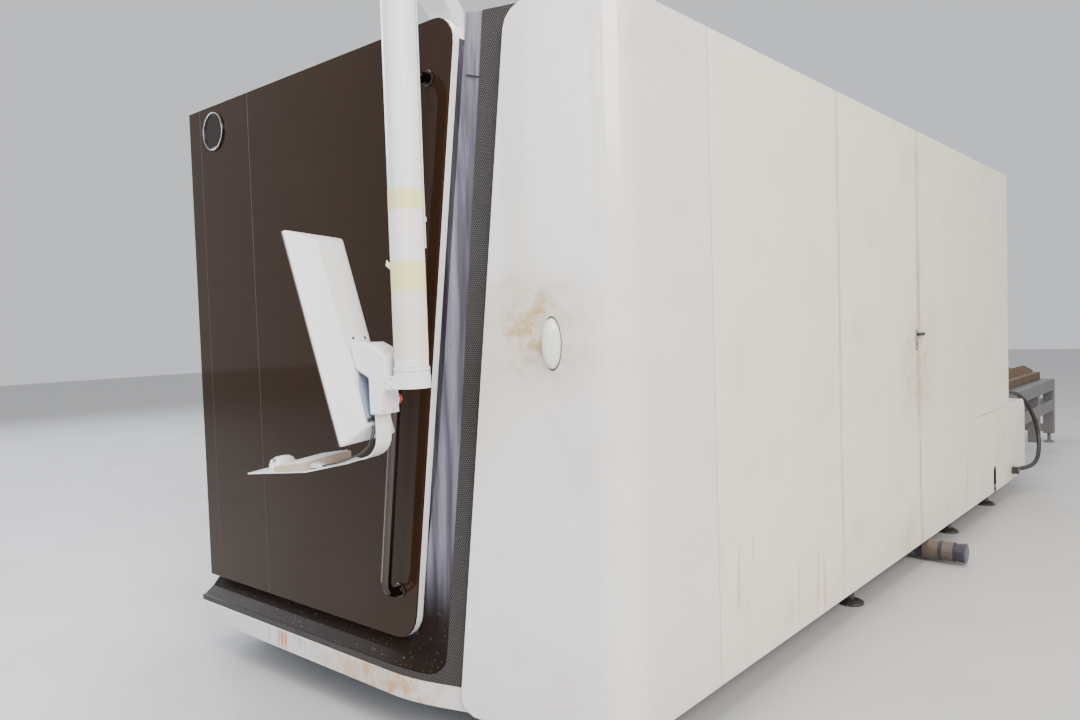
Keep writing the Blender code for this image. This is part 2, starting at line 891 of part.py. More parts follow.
def make_side_panels(parent, white):
    half = seam_gap / 2
    low_x, high_x = -panel_depth, 0
    low = (low_x, front_seam_y + half, panel_bottom)
    high = (high_x, second_seam_y - half, body_top)
    folded_panel("side_panel_middle", low, high, -1, white, parent)
    low = (low_x, second_seam_y + half, panel_bottom)
    high = (high_x, third_seam_y - half, body_top)
    folded_panel("service_door", low, high, -1, white, parent, (0, second_seam_y, 0))

    split_y = body_length - access_panel_length
    outline = [(third_seam_y + half, panel_bottom), (split_y - half, panel_bottom),
               (split_y - half, access_panel_top + half), (body_length, access_panel_top + half),
               (body_length, body_top), (third_seam_y + half, body_top)]
    shape = prism([(low_x, y, z) for y, z in outline], (panel_depth, 0, 0))
    rear = piece("side_panel_rear", shape, white, parent)
    pocket = [(low_x - panel_depth, third_seam_y + half + sheet, panel_bottom + sheet)]
    pocket_high = (high_x - sheet, split_y - half - sheet, body_top - sheet)
    cutter = bmesh.new()
    add_block(cutter, pocket[0], pocket_high)
    cut(rear, cutter, "rear_pocket")

    low = (low_x, split_y + half, panel_bottom)
    high = (high_x, body_length, access_panel_top - half)
    panel = folded_panel("access_panel", low, high, -1, white, parent)
    centre_y = body_length - slot_from_rear
    radius = slot_width / 2
    arch = [(centre_y - radius, panel_bottom - sheet), (centre_y + radius, panel_bottom - sheet)]
    for step in range(7):
        angle = pi * step / 6
        arch.append((centre_y + radius * cos(angle), slot_top - radius + radius * sin(angle)))
    slot = prism([(low_x - sheet, y, z) for y, z in arch], (panel_depth + 2 * sheet, 0, 0))
    cut(panel, slot, "access_slot")


def make_left_panels(parent, white):
    half = seam_gap / 2
    middle = second_seam_y
    low = (left_x, header_low_y, panel_bottom)
    high = (left_x + panel_depth, middle - half, body_top)
    folded_panel("left_panel_front", low, high, 1, white, parent)
    low = (left_x, middle + half, panel_bottom)
    high = (left_x + panel_depth, body_length, body_top)
    folded_panel("left_panel_rear", low, high, 1, white, parent)


def make_roof(parent, white):
    low_z = frame_top + seat_gap
    edge = roof_edge
    arc = corner_points(roof_front_y, corner_radius)
    outline = [(left_x + edge, roof_front_y)]
    outline += [plan_point(x, roof_front_y) for x in bend_stations(bend_start_x, bend_start_x / 2)]
    outline += [(x - edge, y) for x, y in arc]
    outline += [(-edge, body_length - edge), (left_x + edge, body_length - edge)]
    roof = piece("roof", prism([(x, y, low_z) for x, y in outline], (0, 0, roof_thickness)), white, parent)
    round_edges(roof, roof_fall, 1)


def make_rear_wall(parent, white):
    inset = panel_depth + seat_gap
    low = (left_x + inset, body_length - rear_sheet, panel_bottom)
    high = (-inset, body_length, body_top)
    wall = piece("rear_wall", blocks([(low, high)]), white, parent)
    hole_right = bed_inner_x - rear_opening_margin / 2
    hole_left = 2 * middle_x - hole_right
    hole = blocks([(
        (hole_left, low[1] - rear_sheet, rear_opening_bottom),
        (hole_right, high[1] + rear_sheet, rear_opening_top))])
    cut(wall, hole, "pallet_opening")


def make_service_box(parent, white):
    start = body_length + seat_gap
    high_x = -box_side_inset
    outline = [(start, panel_bottom), (start + box_length, panel_bottom)]
    for step in range(7):
        angle = pi / 2 * step / 6
        outline.append((start + box_length - box_round * (1 - cos(angle)),
                        box_top - box_round * (1 - sin(angle))))
    outline.append((start, box_top))
    shape = prism([(high_x - box_width, y, z) for y, z in outline], (box_width, 0, 0))
    box = piece("rear_service_box", shape, white, parent)
    groove_y = start + box_length * box_seam_share
    groove = blocks([(
        (high_x - sheet, groove_y - seam_gap / 2, panel_bottom - sheet),
        (high_x + sheet, groove_y + seam_gap / 2, box_top + sheet))])
    cut(box, groove, "box_seam")


# Route of the drain hose, from its upper gland round to its lower one
hose_route = (
    (-0.070, 5.4205, 0.800), (-0.070, 5.440, 0.800), (-0.070, 5.500, 0.800),
    (-0.066, 5.620, 0.799), (-0.056, 5.760, 0.791), (-0.038, 5.900, 0.765),
    (-0.010, 6.020, 0.702), (0.020, 6.110, 0.606), (0.048, 6.155, 0.490),
    (0.064, 6.150, 0.390), (0.074, 6.105, 0.302), (0.078, 6.030, 0.240), (0.075, 5.930, 0.207),
    (0.066, 5.820, 0.196), (0.050, 5.720, 0.195), (0.034, 5.650, 0.197), (0.0205, 5.605, 0.1995),
    (0.017, 5.578, 0.200), (0.017, 5.5605, 0.200))
hose_points_between = 3


def smooth_route(points, between):
    """Points read from a smooth curve through the route's own points."""
    points = [Vector(point) for point in points]
    ends = [2 * points[0] - points[1]] + points + [2 * points[-1] - points[-2]]
    route = []
    for index in range(len(points) - 1):
        before, start, end, after = ends[index:index + 4]
        for step in range(between):
            t = step / between
            route.append(0.5 * (
                2 * start + (end - before) * t + (2 * before - 5 * start + 4 * end - after) * t ** 2
                + (3 * start - before - 3 * end + after) * t ** 3))
    route.append(points[-1])
    return route


def make_hose(parent, rubber, fitting):
    rise = gland_length - seat_gap
    neck = gland_radius * gland_neck_share
    profile = [(gland_radius, seat_gap), (gland_radius, rise / 2),
               (neck, rise * gland_step_share), (neck, rise)]
    upper = turned(profile, (upper_gland_x, body_length, upper_gland_z), (0, 1, 0), gland_facets)
    piece("upper_gland", upper, fitting, parent, smooth=True)
    lower_y = body_length + lower_gland_from_wall
    elbow = blocks([(
        (-box_side_inset + seat_gap, lower_y - elbow_length, lower_gland_z - gland_radius),
        (elbow_reach, lower_y, lower_gland_z + gland_radius))])
    gland = piece("lower_gland", elbow, fitting, parent)
    socket_radius = hose_radius * elbow_wall_share
    profile = [(socket_radius, -weld_depth), (socket_radius, elbow_socket)]
    socket = turned(profile, (elbow_centre_x, lower_y, lower_gland_z), (0, 1, 0), gland_facets)
    weld(gland, socket, "elbow_socket")

    curve = bpy.data.curves.new("drain_hose", "CURVE")
    curve.dimensions = "3D"
    curve.bevel_depth = hose_radius
    curve.bevel_resolution = 2
    curve.use_fill_caps = True
    route = smooth_route(hose_route, hose_points_between)
    spline = curve.splines.new("POLY")
    spline.points.add(len(route) - 1)
    for point, place in zip(spline.points, route):
        point.co = (*place, 1)
    curve.materials.append(rubber)
    hose = bpy.data.objects.new("drain_hose", curve)
    bpy.context.scene.collection.objects.link(hose)
    hose.parent = parent


def bed_post_places():
    return spread(bed_front_y, bed_rear_y - bed_post, bed_post_count)


def foot_profile(radius, height, stem_top):
    return [(radius, 0), (radius, height / 2), (radius * foot_shoulder_share, height),
            (foot_stem_radius, height * foot_cone_share), (foot_stem_radius, stem_top)]


def spread(first, last, count):
    return [first + (last - first) * step / (count - 1) for step in range(count)]


def mirrored(box):
    """The same box on the other side of the machine's middle."""
    (x0, y0, z0), (x1, y1, z1) = box
    return (2 * middle_x - x1, y0, z0), (2 * middle_x - x0, y1, z1)


def make_base(parent, steel):
    """Ladder of two long beams and seven cross beams, on eight levelling feet."""
    outer = -(panel_depth + seat_gap)
    top = base_beam_bottom + base_beam_height
    beam = ((outer - base_beam_width, base_front_y, base_beam_bottom), (
        outer, body_length - base_rear_margin, top))
    base = piece("base_frame", blocks([beam, mirrored(beam)]), steel, parent)
    low_x = mirrored(beam)[1][0] - weld_depth
    high_x = beam[0][0] + weld_depth
    crosses = []
    for y in [base_front_y] + bed_post_places():
        crosses.append(((low_x, y, top - cross_beam_height), (high_x, y + cross_beam_width, top)))
    weld(base, blocks(crosses), "base_cross_beams")

    feet = bmesh.new()
    nut_low = base_beam_bottom - foot_nut_height
    profile = foot_profile(foot_pad_radius, foot_pad_height, nut_low)
    profile += [(foot_nut_radius, nut_low), (foot_nut_radius, base_beam_bottom + weld_depth)]
    places = [foot_first_y + foot_pitch * step for step in range(foot_count)] + [foot_last_y]
    for y in places:
        for x in (-foot_x_margin, 2 * middle_x + foot_x_margin):
            add_turned(feet, profile, (x, y, 0), (0, 0, 1), foot_facets)
    weld(base, feet, "levelling_feet")


def make_bed(parent, steel, bright):
    """Side frames that carry the gantry rails and, inside, two ledges for the pallets."""
    base_top = base_beam_bottom + base_beam_height + seat_gap
    beam_low = bed_top - bed_beam_height
    ledge_x = bed_inner_x + weld_depth
    lengths = [((bed_inner_x, bed_front_y, beam_low), (bed_outer_x, bed_rear_y, bed_top))]
    for level in (upper_level, lower_level):
        lengths.append(((bed_inner_x - ledge_width, bed_front_y, level - ledge_thickness), (
            ledge_x, bed_rear_y, level)))
    posts = []
    for y in bed_post_places():
        posts.append(((bed_inner_x, y, base_top), (bed_outer_x, y + bed_post, beam_low + weld_depth)))
    middle = (bed_inner_x + bed_outer_x) / 2
    half = guide_rail_width / 2
    rail = ((middle - half, bed_front_y, bed_top + seat_gap), (
        middle + half, bed_rear_y, bed_top + guide_rail_height))
    for side, place in (("right", lambda box: box), ("left", mirrored)):
        frame = piece("bed_frame_" + side, blocks([place(box) for box in lengths]), steel, parent)
        weld(frame, blocks([place(box) for box in posts]), "bed_posts_" + side)
        piece("guide_rail_" + side, blocks([place(rail)]), bright, parent)


def make_enclosure_frame(parent, steel):
    """Welded square tubes that carry the panels, the roof and the front door's channels."""
    base_top = base_beam_bottom + base_beam_height + seat_gap
    outer = -frame_inset
    rail_low = frame_top - frame_tube
    post_top = rail_low + frame_tube / 2
    rear_end = body_length - rear_sheet - seat_gap
    posts_y = [y - frame_tube / 2 for y in (front_seam_y, second_seam_y, third_seam_y)]
    posts_y.append(rear_end - frame_tube)
    posts = []
    for y in posts_y:
        box = ((outer - frame_tube, y, base_top), (outer, y + frame_tube, post_top))
        posts += [box, mirrored(box)]
    left_edge = 2 * middle_x - outer
    posts.append(((left_edge, header_low_y, base_top), (
        left_edge + frame_tube, header_low_y + frame_tube, post_top)))
    front_x = front_post_x - frame_tube
    posts.append(((front_x, base_front_y, base_top), (front_post_x, base_front_y + frame_tube, post_top)))
    frame = piece("enclosure_frame", blocks(posts), steel, parent)

    right_rail = ((outer - frame_tube, posts_y[0], rail_low), (outer, rear_end, frame_top))
    left_rail = ((left_edge, header_low_y, rail_low), (left_edge + frame_tube, rear_end, frame_top))
    front_rail = ((front_x, header_low_y, rail_low), (front_post_x, posts_y[0] + frame_tube, frame_top))
    foot_rail = ((left_edge, header_low_y, base_top), (
        left_edge + frame_tube, posts_y[0] + frame_tube, base_top + frame_tube))
    weld(frame, blocks([right_rail, left_rail, front_rail, foot_rail]), "frame_long_rails")

    crosses = [((left_edge, header_low_y, rail_low), (front_post_x, header_low_y + frame_tube, frame_top))]
    for y in (posts_y[0], rear_end - frame_tube):
        crosses.append(((left_edge, y, rail_low), (outer, y + frame_tube, frame_top)))
    weld(frame, blocks(crosses), "frame_cross_rails")
    weld(frame, blocks(hinge_blocks()), "cover_hinge_blocks")


def hinge_blocks():
    """Small blocks on the posts that carry the hidden hinges of the corner cover."""
    boxes = []
    low_y = front_seam_y - frame_tube / 2
    for share in hinge_height_shares:
        z = body_top * share
        boxes.append(((-frame_inset - weld_depth, low_y, z), (
            -cover_shell - 2 * seat_gap, low_y + hinge_block_length / 2, z + hinge_block_height)))
    return boxes


def make_cabinet(parent, white):
    floor_z = base_beam_bottom + base_beam_height + seat_gap
    low = (-cabinet_inset_x - cabinet_width, cabinet_front_y, floor_z)
    high = (-cabinet_inset_x, cabinet_front_y + cabinet_length, low[2] + cabinet_height)
    shape = blocks([(low, high)])
    bmesh.ops.recalc_face_normals(shape, faces=shape.faces)
    face = next(face for face in shape.faces if face.normal.x > 0.5)
    bmesh.ops.inset_region(shape, faces=[face], thickness=cabinet_door)
    bmesh.ops.inset_region(shape, faces=[face], thickness=sheet)
    bmesh.ops.translate(shape, verts=face.verts, vec=(cabinet_door / 2, 0, 0))
    piece("control_cabinet", shape, white, parent)


def make_gas_panel(parent, brass):
    """Mounting plate with the gas valves behind the service door."""
    inner = -frame_inset - frame_tube - seat_gap
    low_y = second_seam_y + frame_tube / 2 - gas_block
    plate = ((inner - gas_plate_thickness, low_y - gas_block, gas_plate_z), (
        inner, low_y - gas_block + gas_plate_length, gas_plate_z + gas_plate_height))
    panel = piece("gas_panel", blocks([plate]), brass, parent)
    valves = bmesh.new()
    face_x = inner - gas_plate_thickness / 2
    first = second_seam_y + frame_tube / 2 + gas_block
    last = plate[1][1] - 2 * gas_block
    middle_z = gas_plate_z + gas_plate_height / 2
    for y in spread(first, last, gas_valve_count):
        add_block(valves, (face_x, y, middle_z), (face_x + gas_block, y + gas_block, middle_z + gas_block))
    weld(panel, valves, "gas_valves")
    pipes = bmesh.new()
    for y in spread(first, last, gas_valve_count):
        centre = (face_x + gas_block / 2, y + gas_block / 2, middle_z - gas_plate_height / 4)
        profile = [(gas_pipe_radius, 0), (gas_pipe_radius, gas_plate_height / 2)]
        add_turned(pipes, profile, centre, (0, 0, 1), gas_pipe_facets)
    weld(panel, pipes, "gas_pipes")


def make_conveyor(parent, steel, rubber, blue):
    """Scrap conveyor under the bed, driven by the gearmotor that sticks out at the side."""
    low_x = middle_x - conveyor_width / 2
    high_x = middle_x + conveyor_width / 2
    ends = (conveyor_front_y, conveyor_motor_y)
    loop_radius = drum_radius + conveyor_gap / 4
    outer_radius = loop_radius + conveyor_belt_thickness
    outer = []
    inner = []
    for end_y, start_angle in ((ends[0], pi / 2), (ends[1], -pi / 2)):
        for step in range(9):
            angle = start_angle + pi * step / 8
            for loop, radius in ((outer, outer_radius), (inner, loop_radius)):
                loop.append((low_x, end_y + radius * cos(angle), drum_centre_z + radius * sin(angle)))
    belt = bmesh.new()
    add_ring(belt, outer, inner, (conveyor_width, 0, 0))
    piece("conveyor_belt", belt, rubber, parent, smooth=True)

    shaft = conveyor_gap + conveyor_plate
    for name, y in (("idler_drum", ends[0]), ("drive_drum", ends[1])):
        half = conveyor_width / 2
        profile = [(drum_shaft_radius, -half - shaft), (drum_shaft_radius, -half), (drum_radius, -half),
                   (drum_radius, half), (drum_shaft_radius, half), (drum_shaft_radius, half + shaft)]
        centre = (middle_x, y, drum_centre_z)
        drum = turned(profile, centre, (1, 0, 0), drum_facets)
        piece(name, drum, steel, parent, centre, smooth=True)

    bore = drum_shaft_radius + seat_gap * 2
    plate_top = base_beam_bottom + base_beam_height - cross_beam_height - seat_gap
    for side, x in (("left", low_x - conveyor_gap - conveyor_plate), ("right", high_x + conveyor_gap)):
        plate = ((x, ends[0] - outer_radius, drum_centre_z - outer_radius), (
            x + conveyor_plate, ends[1] + outer_radius, plate_top))
        item = piece("conveyor_side_" + side, blocks([plate]), steel, parent)
        bores = bmesh.new()
        for y in ends:
            profile = [(bore, 0), (bore, 3 * conveyor_plate)]
            add_turned(bores, profile, (x - conveyor_plate, y, drum_centre_z), (1, 0, 0), drum_facets)
        cut(item, bores, "conveyor_bores_" + side)

    start = high_x + conveyor_gap + conveyor_plate + seat_gap
    body = motor_reach - start
    neck = motor_radius * motor_neck_share
    barrel = motor_radius * motor_body_share
    neck_end = body * motor_neck_length_share
    band_end = body - motor_cap * 2
    profile = [(neck, 0), (neck, neck_end), (barrel, neck_end + body * motor_shoulder_share),
               (barrel, band_end - motor_band), (motor_radius, band_end - motor_band),
               (motor_radius, band_end),
               (barrel, band_end), (barrel, body - motor_cap), (motor_radius, body - motor_cap),
               (motor_radius, body - motor_band), (motor_radius * motor_end_share, body)]
    centre = (start, conveyor_motor_y, drum_centre_z)
    piece("conveyor_motor", turned(profile, centre, (1, 0, 0), motor_facets), blue, parent, smooth=True)


def make_gantry(parent, paint, white, brass):
    rail_middle = (bed_inner_x + bed_outer_x) / 2
    rail_top = bed_top + guide_rail_height
    beam_low = rail_top + gantry_lift
    beam_y = gantry_front_y
    span_x = rail_middle + end_block_width / 2
    beam = ((2 * middle_x - span_x, beam_y, beam_low), (
        span_x, beam_y + gantry_width, beam_low + gantry_height))
    item = piece("gantry_beam", blocks([beam]), paint, parent)

    ends = bmesh.new()
    block_y = beam_y + gantry_width / 2 - end_block_length / 2
    inner = guide_rail_width / 2 + rail_clearance
    half = end_block_width / 2
    cheek = rail_top - guide_rail_height / 2
    for centre in (rail_middle, 2 * middle_x - rail_middle):
        groove_top = rail_top + rail_clearance
        seam = beam_low + weld_depth
        outline = [(centre - half, cheek), (centre - inner, cheek), (centre - inner, groove_top),
                   (centre + inner, groove_top), (centre + inner, cheek), (centre + half, cheek),
                   (centre + half, seam), (centre - half, seam)]
        add_prism(ends, [(x, block_y, z) for x, z in outline], (0, end_block_length, 0))

    weld(item, ends, "gantry_slides")
    rails = bmesh.new()
    rail_y = beam_y
    for share in cross_rail_shares:
        z = beam_low + gantry_height * share
        add_block(rails, (
            beam[0][0] + end_block_width, rail_y - cross_rail_depth, z - cross_rail_height / 2), (
            beam[1][0] - end_block_width, rail_y + weld_depth, z + cross_rail_height / 2))
    weld(item, rails, "cross_rails")

    front_y = rail_y - cross_rail_depth - rail_clearance
    low_z = beam_low + (gantry_height - carriage_height) / 2
    plate = ((middle_x - carriage_width / 2, front_y - carriage_depth, low_z), (
        middle_x + carriage_width / 2, front_y, low_z + carriage_height))
    item = piece("head_carriage", blocks([plate]), white, parent, (middle_x, beam_y, beam_low))
    round_edges(item, panel_depth / 4, 1)

    head_y = plate[0][1] - rail_clearance
    centre = Vector((middle_x, head_y - head_depth / 2, 0))
    low = (middle_x - head_width / 2, head_y - head_depth, low_z - head_drop)
    high = (middle_x + head_width / 2, head_y, low_z - head_drop + head_height)
    item = piece("cutting_head", blocks([(low, high)]), white, parent, centre)
    round_edges(item, panel_depth / 2, 2)
    profile = [(nozzle_radius, seat_gap), (nozzle_radius, nozzle_length * nozzle_body_share),
               (nozzle_radius * nozzle_neck_radius_share, nozzle_length * nozzle_neck_share),
               (nozzle_radius * nozzle_tip_radius_share, nozzle_length)]
    shape = turned(profile, (centre.x, centre.y, low[2]), (0, 0, -1), nozzle_facets)
    piece("cutting_nozzle", shape, brass, parent, centre, smooth=True)


def slat_outline(length):
    """Saw-toothed upper edge with blunt tips, as (along, height) points."""
    pitch = length / slat_teeth
    valley = slat_height * (1 - slat_tooth_share)
    half_tip = pitch * slat_tip_share / 2
    points = [(0, 0), (length, 0), (length, valley)]
    for tooth in reversed(range(slat_teeth)):
        middle = (tooth + slat_tooth_middle_share) * pitch
        points.append((middle + half_tip, slat_height))
        points.append((middle - half_tip, slat_height))
        points.append((tooth * pitch, valley))
    return points


def make_pallet(name, parent, start_y, level, finish):
    """A frame of square tubes with toothed slats welded across it."""
    right = pallet_right_x
    left = 2 * middle_x - right
    low = level + seat_gap
    high = level + pallet_height
    end_y = start_y + pallet_length
    tubes = []
    for x in (left, right - pallet_tube):
        tubes.append(((x, start_y, low), (x + pallet_tube, end_y, high)))
    pallet = piece(name, blocks(tubes), finish, parent)

    inner_right = right - pallet_tube + weld_depth
    inner_left = 2 * middle_x - inner_right
    foot = high - slat_sink
    bars = []
    for y in (start_y, end_y - pallet_tube):
        bars.append(((inner_left, y, low), (inner_right, y + pallet_tube, high)))
    middle_bar = start_y + (pallet_length - pallet_tube) / 2
    bars.append(((inner_left, middle_bar, low), (inner_right, middle_bar + pallet_tube, foot)))
    weld(pallet, blocks(bars), name + "_bars")

    slats = bmesh.new()
    first = start_y + 2 * pallet_tube
    last = end_y - 2 * pallet_tube - slat_thickness
    for y in spread(first, last, slat_count):
        edge = slat_outline(inner_right - inner_left)
        outline = [(inner_left + along, y, foot + height) for along, height in edge]
        add_prism(slats, outline, (0, slat_thickness, 0))
    weld(pallet, slats, name + "_slats")


def make_exchange_table(parent, steel):
    """Two levels of beams and ledges on ten posts, which hold whichever pallet is outside.

    The beams butt against the rear wall, so that the pallets roll straight across.
    """
    docked_y = body_length + seat_gap
    starts = spread(table_y, table_rear_y - table_post, table_post_count)
    inner = bed_inner_x
    outer = inner + table_post
    top_low = upper_level - table_beam_height
    posts = []
    beams = []
    ledges = []
    for y in starts:
        posts.append(((inner, y, table_foot_height), (outer, y + table_post, top_low + weld_depth)))
    for level in (upper_level, lower_level):
        beams.append(((inner, docked_y, level - table_beam_height), (outer, table_rear_y, level)))
        ledges.append(((inner - ledge_width, docked_y, level - ledge_thickness), (
            inner + weld_depth, table_rear_y, level)))
    posts += [mirrored(box) for box in posts]
    beams += [mirrored(box) for box in beams]
    ledges += [mirrored(box) for box in ledges]
    cross_right = inner + weld_depth
    for y in (starts[0], starts[2], starts[4]):
        ledges.append(((2 * middle_x - cross_right, y, table_cross_bottom), (
            cross_right, y + table_post, table_cross_bottom + table_cross_height)))
    table = piece("exchange_frame", blocks(posts), steel, parent)
    weld(table, blocks(beams), "table_beams")
    weld(table, blocks(ledges), "table_ledges")

    feet = bmesh.new()
    profile = foot_profile(table_foot_radius, table_foot_plate, table_foot_height + weld_depth)
    for y in (starts[0], starts[2], starts[4]):
        for x in ((inner + outer) / 2, 2 * middle_x - (inner + outer) / 2):
            add_turned(feet, profile, (x, y + table_post / 2, 0), (0, 0, 1), foot_facets)
    weld(table, feet, "table_feet")


def make_boom(parent, white):
    """Mast on the roof, the boom over it and the long pole that hangs from the boom."""
    roof_top = frame_top + seat_gap + roof_thickness + seat_gap
    top = boom_z - boom_height / 2 - seat_gap
    profile = [(mast_plate_radius, roof_top), (mast_plate_radius, roof_top + mast_plate_thickness),
               (mast_radius, roof_top + mast_plate_thickness), (mast_radius, top)]
    mast = turned(profile, (mast_x, mast_y, 0), (0, 0, 1), mast_facets)
    piece("boom_mast", mast, white, parent, smooth=True)

    pivot = Vector((mast_x, mast_y, 0))
    reach = Vector((pole_x - mast_x, pole_y - mast_y, 0))
    along = reach.normalized()
    across = Vector((-along.y, along.x, 0))
    ends = (pivot - along * (mast_radius + mast_cap), pivot + reach + along * (pole_radius + mast_cap))
    low = boom_z - boom_height / 2
    outline = []
    for end, side in ((0, -1), (1, -1), (1, 1), (0, 1)):
        spot = ends[end] + across * side * boom_width / 2
        outline.append((spot.x, spot.y, low))
    item = piece("boom_arm", prism(outline, (0, 0, boom_height)), white, parent, pivot)
    round_edges(item, panel_depth / 4, 1)
    shape = bmesh.new()
    profile = [(pole_radius, pole_bottom), (pole_radius, low - seat_gap)]
    add_turned(shape, profile, (pole_x, pole_y, 0), (0, 0, 1), pole_facets)
    piece("console_pole", shape, white, parent, pivot, smooth=True)


def screen_back_y(z):
    """Where the tilted screen's back lies at a height, less the seating gap."""
    reach = screen_plate + shell_rise
    along = (z - screen_bottom - reach * sin(screen_tilt)) / cos(screen_tilt)
    return -screen_distance + reach * cos(screen_tilt) - along * sin(screen_tilt) + seat_gap


def make_console(console, screen, white, grey, black, red):
    """Everything that turns about the pole. Its own -Y points to the operator."""
    outline = [(arm_half_width, 0), (arm_half_width, -arm_reach), (-arm_half_width, -arm_reach)]
    for step in range(arm_nose_steps):
        angle = pi + pi * step / arm_nose_steps
        outline.append((arm_half_width * cos(angle), -arm_half_width * sin(angle)))
    shape = prism([(x, y, arm_low) for x, y in outline], (0, 0, arm_thickness))
    arm = piece("console_arm", shape, white, console)
    second = collar_height + collar_groove
    profile = [(collar_radius, -weld_depth), (collar_radius, collar_height), (pole_radius, collar_height),
               (pole_radius, second), (collar_radius, second), (collar_radius, second + collar_height)]
    weld(arm, turned(profile, (0, 0, arm_top), (0, 0, 1), pole_facets), "pole_collars")

    half = mount_width / 2
    back_y = -arm_reach - seat_gap
    profile = [(back_y, arm_low), (back_y, mount_shoulder_z), (-mount_brow_d, mount_brow_z),
               (-mount_crown_d, mount_top), (screen_back_y(mount_top), mount_top),
               (screen_back_y(mount_throat_z), mount_throat_z), (-leg_far_d, mount_chin_z),
               (-leg_far_d, junction_low), (-leg_near_d, junction_low), (-leg_near_d, arm_low - leg_fillet)]
    side = [(-half, y, z) for y, z in profile]
    mount = piece("screen_mount", prism(side, (mount_width, 0, 0)), white, console)
    round_edges(mount, panel_depth / 6, 1)
    box_top_z = arm_low - seat_gap
    inner_x = half - leg_width
    niche = ((-mount_width, -mount_crown_d, junction_low - sheet), (inner_x, 0, arm_low))
    cut(mount, blocks([niche]), "junction_niche")

    far_x = inner_x - seat_gap - junction_width
    box = ((far_x, -junction_near_d - junction_depth, junction_low), (
        inner_x - seat_gap, -junction_near_d, box_top_z))
    housing = piece("junction_box", blocks([box]), white, console)
    stop_seat = Vector((far_x - seat_gap, -junction_near_d - junction_depth / 2,
                        box_top_z - junction_height / 2))
    shape = turned([(stop_collar_radius, 0), (stop_collar_radius, stop_collar),
                    (stop_radius, stop_collar), (stop_radius, stop_collar + stop_cap * stop_dome_share),
                    (stop_radius * stop_face_share, stop_collar + stop_cap)],
                   stop_seat - Vector((stop_travel, 0, 0)), (-1, 0, 0), stop_facets)
    piece("stop_button", shape, red, console, stop_seat, smooth=True)
    outer = []
    inner = []
    for step in range(stop_facets):
        angle = 2 * pi * step / stop_facets
        across = cos(angle)
        up = sin(angle)
        outer.append((far_x + sheet, stop_seat.y + stop_ring_radius * across,
                      stop_seat.z + stop_ring_radius * up))
        inner.append((far_x + sheet, stop_seat.y + stop_bore_radius * across,
                      stop_seat.z + stop_bore_radius * up))
    ring = bmesh.new()
    add_ring(ring, outer, inner, (-stop_ring - sheet, 0, 0))
    weld(housing, ring, "stop_ring")

    make_tray(console, white, grey)
    make_screen(screen, white, black)


def tray_profile(offset):
    """Side view of the bent tray plate from its upper end to its tip, moved outward by an offset."""
    centre_y = -tray_back_d - tray_curve
    centre_z = tray_low_z + tray_curve
    radius = tray_curve + offset
    points = [(-tray_back_d + offset, junction_low - seat_gap)]
    for step in range(tray_curve_steps + 1):
        angle = pi / 2 * step / tray_curve_steps
        points.append((centre_y + radius * cos(angle), centre_z - radius * sin(angle)))
    for distance, z in ((tray_bend_d, tray_bend_z), (tray_kink_d, tray_kink_z), (tray_tip_d, tray_tip_z)):
        points.append((-distance, z - offset))
    return points


def make_tray(console, white, grey):
    rows_front = []
    rows_back = []
    widths = [tray_neck] * (tray_curve_steps + 3) + [tray_width] * 2
    for width, (y, z), (deep_y, deep_z) in zip(widths, tray_profile(0.0), tray_profile(tray_sheet)):
        rows_front.append([(-width / 2, y, z), (width / 2, y, z)])
        rows_back.append([(-width / 2, deep_y, deep_z), (width / 2, deep_y, deep_z)])
    piece("tray_plate", closed_grid(rows_front, rows_back), white, console, smooth=False)

    slope = (tray_kink_z - tray_tip_z) / (tray_tip_d - tray_kink_d)

    def top_z(y):
        return tray_kink_z - slope * (-y - tray_kink_d)

    near = -tray_kink_d - tray_sheet
    far = near - keyboard_depth
    profile = [(near, top_z(near) + seat_gap), (near, top_z(near) + keyboard_height * keyboard_back_share),
               (far, top_z(far) + keyboard_height), (far, top_z(far) + seat_gap)]
    half = keyboard_length / 2
    shift = tray_width / 2 - half
    shape = prism([(-half + shift, y, z) for y, z in profile], (keyboard_length, 0, 0))
    piece("keyboard", shape, grey, console)

    centre_y = -(tray_tip_d + tray_kink_d + keyboard_depth) / 2
    mouse = bmesh.new()
    add_turned(mouse, mouse_dome_shares, (0, 0, 0), (0, 0, 1), mouse_facets)
    scale = Matrix.Diagonal((mouse_length / 2, mouse_width / 2, mouse_height, 1))
    lean = Matrix.Rotation(asin(slope), 4, "X")
    side_x = mouse_length * mouse_place_share - mouse_length / 2
    spot = Vector((side_x, centre_y, top_z(centre_y) + seat_gap * 2))
    bmesh.ops.transform(mouse, matrix=Matrix.Translation(spot) @ lean @ scale, verts=mouse.verts)
    piece("mouse", mouse, white, console, smooth=True)


def make_screen(screen, white, black):
    """Back shell and glass of the upright screen, drawn in the tilted screen's own space."""
    half = screen_width / 2
    rise = screen_height
    bevel_x = screen_width * shell_bevel_share
    shape = bmesh.new()
    plate = [(-half, 0), (half, 0), (half, rise), (-half, rise)]
    low = half * shell_bevel_share
    top = rise - low
    crown_x = half - bevel_x
    crown = [(-crown_x, low), (crown_x, low), (crown_x, top), (-crown_x, top)]
    layers = [(plate, 0), (plate, screen_plate), (crown, screen_plate + shell_rise)]
    rings = [[shape.verts.new((x, depth, z)) for x, z in ring] for ring, depth in layers]
    shape.faces.new(rings[0])
    shape.faces.new(list(reversed(rings[-1])))
    for lower, upper in zip(rings, rings[1:]):
        for index in range(4):
            after = (index + 1) % 4
            shape.faces.new((lower[index], upper[index], upper[after], lower[after]))
    item = piece("screen_shell", shape, white, screen)
    round_edges(item, shell_round / 2, 2, shell_edge_angle)
    glass = blocks([(
        (-half + screen_rim, -seat_gap - screen_face, screen_rim),
        (half - screen_rim, -seat_gap, rise - screen_rim))])
    piece("screen_glass", glass, black, screen)


